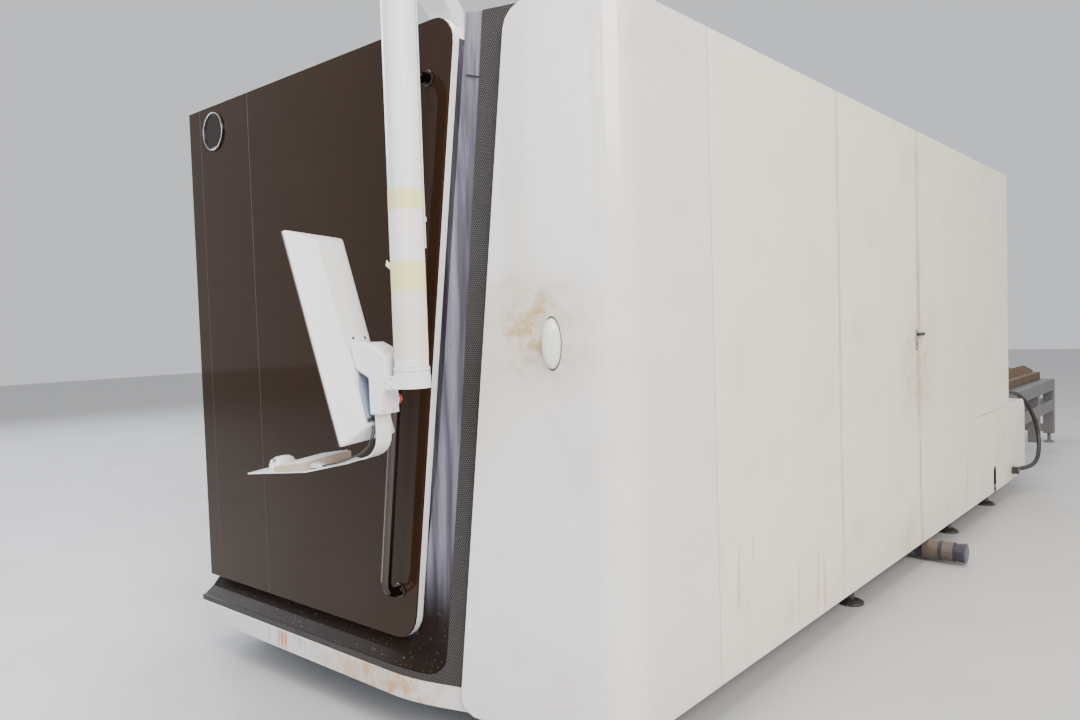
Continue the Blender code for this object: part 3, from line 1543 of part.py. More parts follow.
def make_lock(parent, steel, black):
    y = third_seam_y - lock_from_seam
    plate = ((seat_gap, y - lock_width / 2, lock_z - lock_height / 2), (
        lock_thickness, y + lock_width / 2, lock_z + lock_height / 2))
    item = piece("lock_plate", blocks([plate]), steel, parent)
    round_edges(item, sheet, 1)
    hub_z = lock_z + lock_height / 4
    pivot = Vector((0, y, hub_z))
    shape = bmesh.new()
    start = lock_thickness + seat_gap
    out = start + lever_hub_length
    profile = [(start, y - lever_width / 2), (out, y - lever_width / 2), (out, y + lever_length),
               (out - lever_thickness, y + lever_length), (out - lever_thickness, y + lever_width / 2),
               (start, y + lever_width / 2)]
    add_prism(shape, [(x, along, hub_z - lever_width / 2) for x, along in profile], (0, 0, lever_width))
    item = piece("door_lever", shape, black, parent, pivot)
    round_edges(item, sheet, 1)


def build():
    clear_scene()
    side_white = material("side_white", warm_white, 0.42)
    cool = material("front_white", cool_white, 0.35)
    console_white = material("console_white", cool_white, 0.40)
    glass = material("black_glass", near_black, 0.05)
    gloss = material("gloss_black", dark_gloss, 0.15)
    trim = material("perforated_black", mesh_dark, 0.55)
    door_edge = material("door_edge", cool_white, 0.35)
    frame_steel = material("frame_paint", frame_grey, 0.55)
    bright = material("bright_steel", rail_steel, 0.25, 1.0)
    handle_steel = material("handle_steel", steel_grey, 0.30, 1.0)
    foot_steel = material("dark_steel", frame_grey, 0.45, 1.0)
    slat_steel = material("cut_steel", rusty_steel, 0.70, 0.6)
    table_paint = material("table_paint", steel_grey, 0.50)
    blue = material("motor_paint", motor_blue, 0.35)
    rubber = material("rubber", rubber_black, 0.60)
    red = material("stop_red", stop_red, 0.35)
    brass = material("brass", brass_yellow, 0.30, 1.0)
    plastic = material("grey_plastic", steel_grey, 0.45)

    machine = empty("machine", (-origin_x, -origin_y, 0))
    console = empty("console", (pole_x, pole_y, 0), machine, console_turn)
    screen = empty("screen", (0, -screen_distance, screen_bottom), console)
    screen.rotation_euler = (screen_tilt, 0, 0)

    make_corner_cover(machine, side_white)
    make_cover_latch(machine, console_white)
    make_perforated_trim(machine, trim)
    make_front_surround(machine, gloss)
    make_front_sill(machine, cool)
    make_front_door(machine, glass, door_edge, bright)
    make_door_handle(machine, handle_steel)
    make_door_channels(machine, foot_steel)
    make_side_panels(machine, side_white)
    make_left_panels(machine, side_white)
    make_roof(machine, side_white)
    make_rear_wall(machine, side_white)
    make_service_box(machine, side_white)
    make_hose(machine, rubber, foot_steel)
    make_base(machine, foot_steel)
    make_bed(machine, frame_steel, bright)
    make_enclosure_frame(machine, frame_steel)
    make_cabinet(machine, plastic)
    make_gas_panel(machine, brass)
    make_conveyor(machine, foot_steel, rubber, blue)
    make_gantry(machine, frame_steel, console_white, brass)
    make_pallet("upper_pallet", machine, pallet_inside_y + pallet_travel, upper_level, slat_steel)
    make_pallet("lower_pallet", machine, pallet_inside_y, lower_level, slat_steel)
    make_exchange_table(machine, table_paint)
    make_boom(machine, console_white)
    make_console(console, screen, console_white, plastic, glass, red)
    make_lock(machine, bright, rubber)


build()
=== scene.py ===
# %% [markdown]
# # A fiber laser cutting machine, dressed for the camera
# The CAD model already holds every panel, frame and pallet in its true place. This lesson
# loads it as a fixed frame and gives it what a photograph shows and a solid doesn't: soft
# edges, paint, glass, rust, screws, tape and cables. Lengths are metres all the way through.

# %% Load the frame
import json
from math import cos, pi, radians, sin, sqrt

import bmesh
import bpy
from mathutils import Matrix, Vector


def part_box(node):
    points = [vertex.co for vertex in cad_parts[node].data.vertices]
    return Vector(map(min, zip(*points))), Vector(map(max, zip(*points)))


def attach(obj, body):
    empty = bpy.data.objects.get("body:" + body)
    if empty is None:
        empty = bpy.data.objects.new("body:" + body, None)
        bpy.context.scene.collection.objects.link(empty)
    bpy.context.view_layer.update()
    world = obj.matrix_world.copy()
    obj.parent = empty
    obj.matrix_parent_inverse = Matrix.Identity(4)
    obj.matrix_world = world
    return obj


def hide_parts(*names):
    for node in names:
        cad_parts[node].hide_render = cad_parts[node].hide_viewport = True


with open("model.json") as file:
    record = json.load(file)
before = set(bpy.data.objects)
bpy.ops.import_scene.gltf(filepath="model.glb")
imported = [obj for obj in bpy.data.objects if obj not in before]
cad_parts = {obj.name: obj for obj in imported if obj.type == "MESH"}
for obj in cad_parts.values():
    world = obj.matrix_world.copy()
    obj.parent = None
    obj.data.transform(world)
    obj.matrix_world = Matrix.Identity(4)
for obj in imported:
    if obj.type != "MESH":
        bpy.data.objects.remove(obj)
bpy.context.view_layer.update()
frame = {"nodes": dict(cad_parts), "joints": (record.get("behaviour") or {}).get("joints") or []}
nodes = frame["nodes"]


def rounded(values, digits=3):
    return [round(value, digits) for value in values]


# %% [markdown]
# A machine builder measures from two faces: the long side with the service door, and the
# flat front. Reading both from the model lets every later place be given the same way, as a
# distance from the side, from the front and from the floor, so no piece can drift. The
# seams between the side panels get names, since paint, seals and roof all follow them.

# %% Measure from the machine's own faces
MM = 0.001
SIDE_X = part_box("side_panel_middle")[1][0]
FRONT_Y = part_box("front_sill")[0][1]
PANEL_BOTTOM, PANEL_TOP = (corner.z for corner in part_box("service_door"))
WIDTH = SIDE_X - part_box("left_panel_rear")[0][0]
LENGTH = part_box("rear_wall")[1][1] - FRONT_Y
COVER_SEAM, DOOR_SEAM, REAR_SEAM = 0.79, 1.97, 3.15


def at(x, y, z):
    """A point from the side plane, the front plane and the floor."""
    return Vector((SIDE_X + x, FRONT_Y + y, z))


print("body", round(WIDTH, 3), "by", round(LENGTH, 3), "top at", round(PANEL_TOP, 3))

# %% [markdown]
# ## The camera
# The photograph was taken at eye height, off the front right corner. Its position and its
# three directions were solved from the straight edges of the enclosure, so they are given
# as measured values. The focal length is in pixels of a picture 1080 wide, and Blender
# wants it in millimetres of a 36 mm film.

# %% Place the camera
PICTURE_WIDTH, PICTURE_HEIGHT = 1080, 720
FILM_WIDTH = 36.0
FOCAL_PIXELS = 832.8
EYE = at(1.483, -1.877, 1.463)
VIEW_RIGHT = Vector((0.756, 0.6537, -0.0323))
VIEW_UP = Vector((-0.0025, 0.0522, 0.9986))
VIEW_FORWARD = Vector((-0.6545, 0.7549, -0.0411))


def add_object(name, data):
    """A new object in the scene: a mesh, a curve, a light or a camera."""
    added = bpy.data.objects.new(name, data)
    bpy.context.scene.collection.objects.link(added)
    return added


film = bpy.data.cameras.new("camera")
film.sensor_width = FILM_WIDTH
film.lens = FOCAL_PIXELS * FILM_WIDTH / PICTURE_WIDTH
camera = add_object("camera", film)
turn = Matrix((VIEW_RIGHT, VIEW_UP, -VIEW_FORWARD)).transposed()
camera.matrix_world = Matrix.Translation(EYE) @ turn.to_4x4()
bpy.context.scene.camera = camera
print("lens", round(film.lens, 2), "mm at", rounded(EYE, 2))

# %% [markdown]
# Small marks such as screws are easiest to read straight off the picture. A ray from the
# camera through the pixel finds the exact spot on the solid that carries the mark, and the
# way that surface faces, so the mark sits on it from every side.

# %% Find spots on a node by their pixels
def seen_at(node_name, pixels):
    """The spot and the outward way of a node behind each pixel that shows it."""
    found = []
    for across, down in pixels:
        right = (across - PICTURE_WIDTH / 2) / FOCAL_PIXELS
        up = (PICTURE_HEIGHT / 2 - down) / FOCAL_PIXELS
        ray = VIEW_FORWARD + VIEW_RIGHT * right + VIEW_UP * up
        hit, spot, way, _ = nodes[node_name].ray_cast(EYE, ray.normalized())
        if hit:
            found.append((spot, way))
        else:
            print("nothing of", node_name, "at", across, down)
    return found


print("cover seen at", rounded(seen_at("corner_cover", [(560, 400)])[0][0]))

# %% [markdown]
# ## Tools for shapes
# Almost every added piece is made of four things: boxes, flat outlines pushed along a
# line, turned discs and bent bars. One small function for each keeps the later cells short.

# %% Shape helpers
SHARP_ANGLE = 35


def add_loft(shape, near, far):
    """The solid between two outlines that have as many corners."""
    near, far = ([shape.verts.new(point) for point in outline] for outline in (near, far))
    shape.faces.new(near)
    shape.faces.new(far[::-1])
    for index in range(len(near)):
        shape.faces.new((near[index - 1], far[index - 1], far[index], near[index]))


def add_prism(shape, outline, along):
    add_loft(shape, outline, [Vector(point) + Vector(along) for point in outline])


def add_box(shape, low, high, axes=lambda *spot: spot):
    """A box between two corners, measured in the row frame or in axes such as on_console."""
    sides = ((low[0], low[1]), (high[0], low[1]), (high[0], high[1]), (low[0], high[1]))
    add_loft(shape, *([axes(x, y, z) for x, y in sides] for z in (low[2], high[2])))


def add_turned(shape, profile, centre, axis, facets=24, hollow=False):
    """Turn (radius, height) points, in mm, round an axis: a solid, or a hollow ring."""
    swing = Vector(axis).to_track_quat("Z", "Y")
    rings = []
    for radius, height in profile:
        angles = [2 * pi * step / facets for step in range(facets)]
        spots = [Vector((radius * cos(angle), radius * sin(angle), height)) for angle in angles]
        rings.append([shape.verts.new(Vector(centre) + swing @ spot * MM) for spot in spots])
    if hollow:
        rings.append(rings[0])
    else:
        shape.faces.new(rings[0])
        shape.faces.new(rings[-1][::-1])
    for lower, upper in zip(rings, rings[1:]):
        for step in range(facets):
            shape.faces.new((lower[step - 1], lower[step], upper[step], upper[step - 1]))


def add_screw(shape, centre, axis, radius, height):
    """A small pan head, sunk a little into what it holds."""
    head = [(radius, -0.4 * height), (radius, 0.5 * height), (0.75 * radius, height)]
    add_turned(shape, head, centre, axis, 12)


def soften_edges(piece, millimetres, angle):
    bevel = piece.modifiers.new("soft edges", "BEVEL")
    bevel.width = millimetres * MM
    bevel.segments = 2
    bevel.limit_method = "ANGLE"
    bevel.angle_limit = radians(angle)
    return bevel


def place_piece(name, shape, finish, body, soften=0.0, smooth=True):
    """Close a bmesh into an object with its finish, on the CAD body it belongs to."""
    bmesh.ops.recalc_face_normals(shape, faces=shape.faces)
    mesh = bpy.data.meshes.new(name)
    shape.to_mesh(mesh)
    shape.free()
    mesh.materials.append(finish)
    if smooth:
        mesh.shade_smooth()
        mesh.set_sharp_from_angle(angle=radians(SHARP_ANGLE))
    piece = add_object(name, mesh)
    if soften:
        soften_edges(piece, soften, SHARP_ANGLE)
    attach(piece, body)


print("shape helpers ready")

# %% [markdown]
# ## Tools for finishes
# A finish is a Principled BSDF fed by a few effects: orange-peel in the paint, grime that
# settles low down, rust that runs from a seam, gloss that isn't even. Each effect is a
# shader node group with named inputs, built once, because the same grime lies on twenty
# materials and only its amount changes. In these helpers a tuple is always a colour.

# %% Node helpers
SOCKETS = {float: "NodeSocketFloat", tuple: "NodeSocketColor", Vector: "NodeSocketVector"}


def opaque(value):
    """A colour with its alpha, and any other value as it is."""
    return (*value, 1.0) if isinstance(value, tuple) else value


def feed(tree, node, values):
    """Give inputs of a node a socket to follow or a fixed value."""
    for key, source in values.items():
        if isinstance(source, bpy.types.NodeSocket):
            tree.links.new(source, node.inputs[key])
        else:
            node.inputs[key].default_value = opaque(source)
    return node


def new_node(tree, kind, values=(), **settings):
    node = tree.nodes.new("ShaderNode" + kind)
    for key, value in settings.items():
        setattr(node, key, value)
    return feed(tree, node, dict(values))


def maths(tree, operation, first, second=0.0):
    values = {0: first, 1: second}
    return new_node(tree, "Math", values, operation=operation).outputs[0]


def times(tree, first, *others):
    for other in others:
        first = maths(tree, "MULTIPLY", first, other)
    return first


def ramp(tree, value, start, end):
    """A soft step of a value, from 0 at start to 1 at end."""
    values = {"Value": value, "From Min": start, "From Max": end}
    step = new_node(tree, "MapRange", values, interpolation_type="SMOOTHSTEP")
    return step.outputs["Result"]


def mixed(tree, share, first, second):
    values = {0: share, 6: first, 7: second}
    return new_node(tree, "Mix", values, data_type="RGBA").outputs[2]


def object_place(tree):
    """Where a point lies on its object, whole and as x, y and z."""
    where = new_node(tree, "TexCoord").outputs["Object"]
    return where, new_node(tree, "SeparateXYZ", {0: where}).outputs


def drawn_out(tree, parts, share):
    """The same place with its height scaled, which draws a noise out or squeezes it."""
    values = {0: parts[0], 1: parts[1], 2: times(tree, parts[2], share)}
    return new_node(tree, "CombineXYZ", values).outputs[0]


def noise(tree, where, scale, detail, roughness=0.5):
    values = {"Vector": where, "Scale": scale, "Detail": detail, "Roughness": roughness}
    return new_node(tree, "TexNoise", values).outputs[0]


print("node helpers ready")

# %% [markdown]
# A group is made from its inputs with their first values, the name of its one result, and
# a function that builds what goes there. A **stain** is the commonest kind: it lays a
# colour over the clean one, as far as its mask and its amount say.

# %% Group helpers
def make_group(name, inputs, result, build):
    group = bpy.data.node_groups.new(name, "ShaderNodeTree")
    for label, value in inputs.items():
        socket = group.interface.new_socket(
            name=label, in_out="INPUT", socket_type=SOCKETS[type(value)])
        socket.default_value = opaque(value)
    kind = SOCKETS[tuple if result == "Color" else float]
    group.interface.new_socket(name=result, in_out="OUTPUT", socket_type=kind)
    given = group.nodes.new("NodeGroupInput").outputs
    leave = group.nodes.new("NodeGroupOutput").inputs
    where, parts = object_place(group)
    group.links.new(build(group, given, where, parts), leave[result])
    print("group", name)
    return group


def make_stain(name, label, colour, inputs, build_mask):
    def laid_over(tree, given, where, parts):
        share = times(tree, build_mask(tree, given, where, parts), given["Amount"])
        return mixed(tree, share, given["Clean"], given[label])

    return make_group(name, {"Clean": (1, 1, 1), label: colour, **inputs}, "Color", laid_over)


def use_group(tree, group, values):
    return new_node(tree, "Group", values, node_tree=group).outputs[0]


print("group helpers ready")

# %% [markdown]
# **Fine grain** is the skin of a finish: the orange-peel of powder coat, the pull lines of
# rolled steel, the pores of rubber. It is one noise whose stretch can differ up and down,
# and it only ever feeds a Bump node.

# %% Group: fine grain
def grain_height(tree, given, where, parts):
    return noise(tree, drawn_out(tree, parts, given["Stretch"]), given["Scale"], 3.0)


grain = make_group("fine grain", {"Scale": 300.0, "Stretch": 1.0}, "Height", grain_height)

# %% [markdown]
# **Settled grime** darkens a part towards the floor and in cloudy patches, the way a
# workshop marks anything pale. The reach is the height at which it fades out.

# %% Group: settled grime
def grime_mask(tree, given, where, parts):
    low = ramp(tree, maths(tree, "DIVIDE", parts[2], given["Reach"]), 1.0, 0.0)
    cloud = noise(tree, where, given["Scale"], 6.0)
    patches = ramp(tree, cloud, 0.48, 0.72)
    both = maths(tree, "ADD", times(tree, low, 0.6), times(tree, patches, 0.4))
    return times(tree, both, cloud)


grime = make_stain(
    "settled grime", "Grime", (0.2, 0.16, 0.12), {"Amount": 0.3, "Reach": 0.6, "Scale": 4.0},
    grime_mask)

# %% [markdown]
# **Rust runs** start under a seam or an edge and trail down as thin streaks. A noise that
# is squeezed sideways and drawn out upwards makes the streaks, and two heights say where
# they begin and end.

# %% Group: rust runs
def runs_mask(tree, given, where, parts):
    streak = noise(tree, drawn_out(tree, parts, 0.06), given["Streaks"], 3.0, 0.7)
    thin = ramp(tree, streak, given["Spread"], 0.8)
    place = ramp(tree, noise(tree, where, 2.2, 2.0), 0.42, 0.62)
    fade_in = maths(tree, "SUBTRACT", given["Top"], 0.02)
    fade_out = maths(tree, "ADD", given["Bottom"], 0.05)
    below = ramp(tree, parts[2], given["Top"], fade_in)
    above = ramp(tree, parts[2], given["Bottom"], fade_out)
    return times(tree, thin, place, below, above)


runs = make_stain(
    "rust runs", "Rust", (0.42, 0.16, 0.04),
    {"Amount": 0.5, "Streaks": 26.0, "Top": 0.3, "Bottom": 0.1, "Spread": 0.6}, runs_mask)

# %% [markdown]
# **Uneven gloss** makes a surface shine here and less there: hands, cloths and dust never
# leave one roughness. **Worn edges** lets the bare metal show where a corner rubs: it
# compares the true normal with a rounded one, and they differ only near an edge.

# %% Groups: uneven gloss and worn edges
def gloss_roughness(tree, given, where, parts):
    swing = maths(tree, "SUBTRACT", noise(tree, where, given["Scale"], 5.0), 0.5)
    return maths(tree, "ADD", given["Roughness"], times(tree, swing, given["Spread"], 2.0))


def wear_mask(tree, given, where, parts):
    true_normal = new_node(tree, "NewGeometry").outputs["Normal"]
    soft_normal = new_node(tree, "Bevel", {"Radius": given["Width"]}, samples=4)
    agree = new_node(tree, "VectorMath", {0: true_normal, 1: soft_normal.outputs[0]},
                     operation="DOT_PRODUCT")
    edge = ramp(tree, agree.outputs["Value"], 0.995, 0.8)
    chips = ramp(tree, noise(tree, where, 60.0, 4.0), 0.4, 0.6)
    return times(tree, edge, chips)


gloss = make_group("uneven gloss", {"Roughness": 0.4, "Spread": 0.1, "Scale": 6.0},
                   "Roughness", gloss_roughness)
wear = make_stain(
    "worn edges", "Bare", (0.4, 0.38, 0.35), {"Amount": 0.5, "Width": 0.003}, wear_mask)

# %% [markdown]
# **Handling marks** gather round a latch, a lock or a seam that leaks: brownish, cloudy and
# strongest in the middle. The effect measures how far a point lies from a centre, and a
# coarse noise breaks the mark up.

# %% Group: handling marks
def handling_mask(tree, given, where, parts):
    away = new_node(tree, "VectorMath", {0: where, 1: given["Centre"]},
                    operation="DISTANCE").outputs["Value"]
    near = ramp(tree, maths(tree, "DIVIDE", away, given["Size"]), 1.0, 0.1)
    cloud = ramp(tree, noise(tree, where, 13.0, 9.0, 0.72), 0.42, 0.66)
    broken = maths(tree, "ADD", times(tree, cloud, 0.7), 0.3)
    return times(tree, near, near, broken)


handling = make_stain(
    "handling marks", "Mark", (0.4, 0.25, 0.14),
    {"Centre": Vector((0, 0, 0)), "Size": 0.3, "Amount": 0.5}, handling_mask)

# %% [markdown]
# A **leaking seam** leaves a brown thread down its whole height, strong at the joint and
# gone a few centimetres away. The effect needs only how far along the machine a point lies.

# %% Group: leaking seam
def leak_mask(tree, given, where, parts):
    away = maths(tree, "ABSOLUTE", maths(tree, "SUBTRACT", parts[1], given["Line"]))
    near = ramp(tree, maths(tree, "DIVIDE", away, given["Width"]), 1.0, 0.0)
    drips = noise(tree, drawn_out(tree, parts, 0.12), 16.0, 5.0)
    return times(tree, near, near, ramp(tree, drips, 0.34, 0.62))


leak = make_stain(
    "leaking seam", "Stain", (0.45, 0.26, 0.12), {"Line": 0.0, "Width": 0.02, "Amount": 0.5},
    leak_mask)

# %% [markdown]
# A **finish** then names its paint and how much of each effect lies on it, from the paint
# up to the grime. Numbers that are the same all over, such as the metallic value, go
# straight on the shader.

# %% Build a finish
def build_finish(name, colour, stains, shine, skin=None, fixed=()):
    """Colour under its stains, uneven shine, a skin of fine grain and the fixed values."""
    finish = bpy.data.materials.new(name)
    finish.use_nodes = True
    tree = finish.node_tree
    for group, values in stains:
        colour = use_group(tree, group, {"Clean": colour, **values})
    inputs = {"Base Color": colour, "Roughness": use_group(tree, gloss, shine), **dict(fixed)}
    if skin:
        strength, distance, values = skin
        values = {"Height": use_group(tree, grain, values), "Strength": strength,
                  "Distance": distance}
        inputs["Normal"] = new_node(tree, "Bump", values).outputs["Normal"]
    feed(tree, tree.nodes["Principled BSDF"], inputs)
    print("finish", name)
    return finish


def make_finish(name, colour, roughness, metallic=0, spread=0.06, bump=0.05, scale=420,
                stretch=1, dirt=0.25, dust=(0.16, 0.12, 0.09), reach=0.6, worn=0.0,
                bare=(0.35, 0.32, 0.3), stains=(), coat=0.0, distance=0.0004):
    """A coat or a metal, worn first, then stained, then dusty."""
    rubbed = [(wear, {"Bare": bare, "Amount": worn})] if worn else []
    dusty = [(grime, {"Grime": dust, "Amount": dirt, "Reach": reach})]
    return build_finish(name, colour, [*rubbed, *stains, *dusty],
                        {"Roughness": roughness, "Spread": spread},
                        (bump, distance, {"Scale": scale, "Stretch": stretch}),
                        {"Metallic": metallic, "Coat Weight": coat, "Coat Roughness": 0.06})


print("finish builder ready")

# %% [markdown]
# ## The paints
# One white paint covers the long side and the front sill. The side's copy is warmer, a
# painted warm light from the right, and the sill's copy cooler, a painted cool light from the
# front. The console has a cooler white. The white on such a machine is powder coat: a faint
# orange-peel, a broad soft highlight, dust, and rust below the seams where water has run.

# %% White paints
side_stains = [
    (runs, dict(Amount=0.75, Streaks=22.0, Top=0.8, Bottom=0.13, Spread=0.52,
                Rust=(0.5, 0.25, 0.09))),
    (leak, dict(Line=FRONT_Y + REAR_SEAM, Width=0.075, Amount=0.8)),
    (leak, dict(Line=FRONT_Y + DOOR_SEAM, Width=0.045, Amount=0.45)),
    (handling, dict(Centre=at(0.0, REAR_SEAM, 1.15), Size=0.6, Amount=0.7,
                    Mark=(0.5, 0.33, 0.18)))]
latch_stains = [
    (handling, dict(Centre=at(-0.265, 0.09, 1.45), Size=0.38, Amount=1.1,
                    Mark=(0.52, 0.36, 0.16)))]
sill_stains = [
    (runs, dict(Amount=3.2, Streaks=28.0, Top=0.223, Bottom=0.125, Spread=0.44,
                Rust=(0.66, 0.29, 0.06))),
    (handling, dict(Centre=at(-1.00, 0.02, 0.19), Size=0.75, Amount=1.05,
                    Mark=(0.62, 0.34, 0.12)))]
POWDER = dict(bump=0.06, scale=260)

# The warm tint of this white is painted warm light from the right.
side_white_painted_warm_light = make_finish(
    "side white powder coat, painted warm light", (0.87, 0.785, 0.675), 0.36, spread=0.05, dirt=0.45,
    dust=(0.3, 0.21, 0.14), stains=side_stains, coat=0.15, **POWDER)
cover_white = make_finish(
    "corner cover powder coat", (0.81, 0.785, 0.75), 0.27, spread=0.05, scale=240, dirt=0.4,
    dust=(0.3, 0.22, 0.16), stains=latch_stains, coat=0.5)
# The cooler tint of this white is painted cool light from the front.
front_white_painted_cool_light = make_finish(
    "front white powder coat, painted cool light", (0.8, 0.79, 0.77), 0.34, dirt=0.45, reach=0.4,
    stains=sill_stains, coat=0.15, **POWDER)
console_white = make_finish(
    "console white powder coat", (0.82, 0.82, 0.82), 0.36, bump=0.08, scale=520, dirt=0.2,
    reach=3.5, coat=0.1)
roof_white = make_finish(
    "roof white powder coat", (0.74, 0.73, 0.71), 0.45, dirt=0.6, reach=4, **POWDER)

# %% [markdown]
# Frames and table are painted grey and rub through at their corners. Ground rails shine,
# the slats are scorched by the beam, and the chip motor has two enamels.

# %% Steels and dark paints
frame_paint = make_finish(
    "frame grey paint", (0.11, 0.12, 0.13), 0.5, bump=0.08, dirt=0.5, reach=1.4,
    dust=(0.2, 0.15, 0.11), worn=0.6)
table_paint = make_finish(
    "table grey paint", (0.115, 0.115, 0.125), 0.46, bump=0.08, dirt=0.5, reach=1,
    dust=(0.24, 0.15, 0.09), worn=0.8)
dark_steel = make_finish(
    "blackened steel", (0.055, 0.055, 0.058), 0.42, metallic=0.6, bump=0.1, dirt=0.5, reach=0.4,
    dust=(0.2, 0.13, 0.08), worn=0.7)
bright_steel = make_finish(
    "ground steel", (0.56, 0.57, 0.58), 0.22, metallic=1, stretch=0.05, scale=700, dirt=0.2,
    reach=2.6)
brushed_steel = make_finish(
    "brushed steel", (0.36, 0.37, 0.39), 0.28, metallic=1, bump=0.1, stretch=0.04,
    scale=900, dirt=0.1, reach=2.6)
latch_white = make_finish(
    "worn latch white", (0.86, 0.84, 0.79), 0.22, bump=0.04, dirt=0.3, reach=2.5, coat=0.6)
black_chrome = make_finish(
    "black chrome", (0.045, 0.038, 0.032), 0.14, metallic=1, bump=0.03, dirt=0.1, reach=3.5)
dark_chrome = make_finish(
    "dark polished tube", (0.085, 0.075, 0.07), 0.16, metallic=1, bump=0.04, stretch=0.05,
    scale=600, dirt=0.4, dust=(0.14, 0.09, 0.06), reach=2.6)
cut_steel = make_finish(
    "scorched slat steel", (0.12, 0.088, 0.066), 0.68, metallic=0.5, spread=0.2, bump=0.5,
    scale=120, dirt=0.8, reach=1.6, dust=(0.28, 0.13, 0.05), worn=0.9, bare=(0.3, 0.26, 0.22),
    distance=0.002)
brass = make_finish("brass", (0.6, 0.42, 0.16), 0.3, metallic=1, dirt=0.3, reach=2.5)
edge_silver = make_finish(
    "door edge silver", (0.86, 0.86, 0.87), 0.3, metallic=0.1, bump=0.04, dirt=0.15)
motor_blue = make_finish(
    "motor blue enamel", (0.012, 0.014, 0.04), 0.26, bump=0.08, dirt=0.5, reach=0.3, worn=0.5)
motor_beige = make_finish(
    "motor beige enamel", (0.11, 0.085, 0.068), 0.3, bump=0.08, dirt=0.4, reach=0.3)

# %% [markdown]
# Plastics share a fine moulded grain. Rubber is dull and coarse, and paper and tape are
# creased, so their grain is large and stands out by a millimetre or more.

# %% Plastics and rubbers
MOULDED = dict(scale=900, dirt=0.2, reach=2)
CREASED = dict(bump=0.5, distance=0.003)
hose_rubber = make_finish(
    "hose rubber", (0.009, 0.009, 0.01), 0.46, bump=0.25, scale=500, dirt=0.35, reach=1,
    dust=(0.12, 0.1, 0.08))
belt_rubber = make_finish(
    "belt rubber", (0.03, 0.03, 0.032), 0.7, bump=0.3, scale=200, dirt=0.6, reach=0.3)
brown_rubber = make_finish(
    "brown seal rubber", (0.1, 0.065, 0.05), 0.5, bump=0.1, dirt=0.2, reach=2)
black_plastic = make_finish(
    "black moulded plastic", (0.02, 0.02, 0.022), 0.42, bump=0.15, **MOULDED)
grey_plastic = make_finish(
    "grey moulded plastic", (0.3, 0.32, 0.36), 0.45, bump=0.12, **MOULDED)
blue_grey_plastic = make_finish(
    "blue grey plastic", (0.3, 0.36, 0.46), 0.42, bump=0.1, scale=700, dirt=0.15, reach=2)
tan_plastic = make_finish(
    "sun-aged key plastic", (0.52, 0.4, 0.3), 0.45, bump=0.12, scale=900, dirt=0.3,
    reach=2)
pale_plastic = make_finish(
    "pale cable jacket", (0.62, 0.63, 0.64), 0.42, bump=0.06, dirt=0.2, reach=3)
red_plastic = make_finish(
    "stop button red", (0.62, 0.02, 0.015), 0.28, bump=0.03, dirt=0.1, reach=2, coat=0.4)
yellow_tape = make_finish(
    "pale yellow tape", (0.84, 0.78, 0.36), 0.34, bump=0.5, scale=60, stretch=2.5, dirt=0.4,
    dust=(0.8, 0.72, 0.5), reach=3.5, distance=0.0015)
wrap_paper = make_finish(
    "wrapped paper", (0.86, 0.83, 0.79), 0.5, scale=32, stretch=0.25, dust=(0.7, 0.58, 0.44),
    reach=3.5, **CREASED)
aged_paper = make_finish(
    "yellowed paper", (0.84, 0.75, 0.65), 0.55, scale=26, stretch=0.3, dirt=0.8,
    dust=(0.62, 0.47, 0.33), reach=3, **CREASED)

# %% [markdown]
# **Black glass** is nearly black paint behind a sheet of glass, so the colour hardly
# matters and the reflection does everything. A thin uneven film of dust and finger marks
# roughens it in patches, or it would look like a hole in the machine.

# %% Glass and gloss
def make_gloss(name, colour, roughness, spread, haze=None, haze_amount=0.0, **fixed):
    film = {"Grime": haze, "Amount": haze_amount, "Reach": 1.2, "Scale": 2.0}
    return build_finish(name, colour, [(grime, film)] if haze else [],
                        {"Roughness": roughness, "Spread": spread, "Scale": 3.0},
                        (0.05, 0.004, {"Scale": 3.0, "Stretch": 0.6}), **fixed)


door_black = make_gloss(
    "black door glass", (0.028, 0.014, 0.007), 0.05, 0.03, (0.045, 0.026, 0.014), 0.6,
    fixed={"Specular IOR Level": 0.2})
screen_black = make_gloss(
    "screen glass", (0.004, 0.004, 0.005), 0.1, 0.04, (0.04, 0.04, 0.045), 0.3)

# %% [markdown]
# The **reveal** behind the door is a curved band of gloss enamel. Up the side its colour is a
# painted reflection of the grey light of the hall in long streaks, and along the ledge, where
# feet and water reach it, it is brown-black under fine dust, its brown a painted reflection of
# the floor. One height ramp turns the first painted reflection into the second, and a noise
# drawn out upwards makes the painted streaks.

# %% Reveal enamel, coloured with a painted reflection
reveal_gloss_painted_reflection = make_gloss(
    "gloss reveal enamel with painted reflection", (0.16, 0.155, 0.19), 0.26, 0.08,
    fixed={"Specular IOR Level": 0.12, "IOR": 1.2})
tree = reveal_gloss_painted_reflection.node_tree
where, parts = object_place(tree)
# The lighter upright streaks up the side are a painted reflection of the grey light of the hall.
streak = ramp(tree, noise(tree, drawn_out(tree, parts, 0.05), 24.0, 4.0), 0.35, 0.65)
side = mixed(tree, streak, (0.11, 0.1, 0.125), (0.27, 0.26, 0.31))
speck = ramp(tree, noise(tree, where, 90.0, 2.0), 0.66, 0.74)
# The ledge's brown-black: its brown is a painted reflection of the floor, its pale specks real
# dust.
ledge = mixed(tree, speck, (0.018, 0.012, 0.009), (0.14, 0.11, 0.08))
height = ramp(tree, parts[2], 0.4, 0.72)
feed(tree, tree.nodes["Principled BSDF"], {"Base Color": mixed(tree, height, ledge, side)})

# %% [markdown]
# ** Perforated sheet** has thousands of round holes in staggered rows. Cut as real holes
# they would cost millions of faces, so the material works out how far each point is from
# the nearest hole of a staggered grid: inside the radius the colour drops to near black, a
# painted shade of the unlit space behind, and the bump falls away.

# %% Group: round holes
HOLE_PITCH = 0.0075
HOLE_SHARE = 0.4
ROW_SHARE = sqrt(3.0)


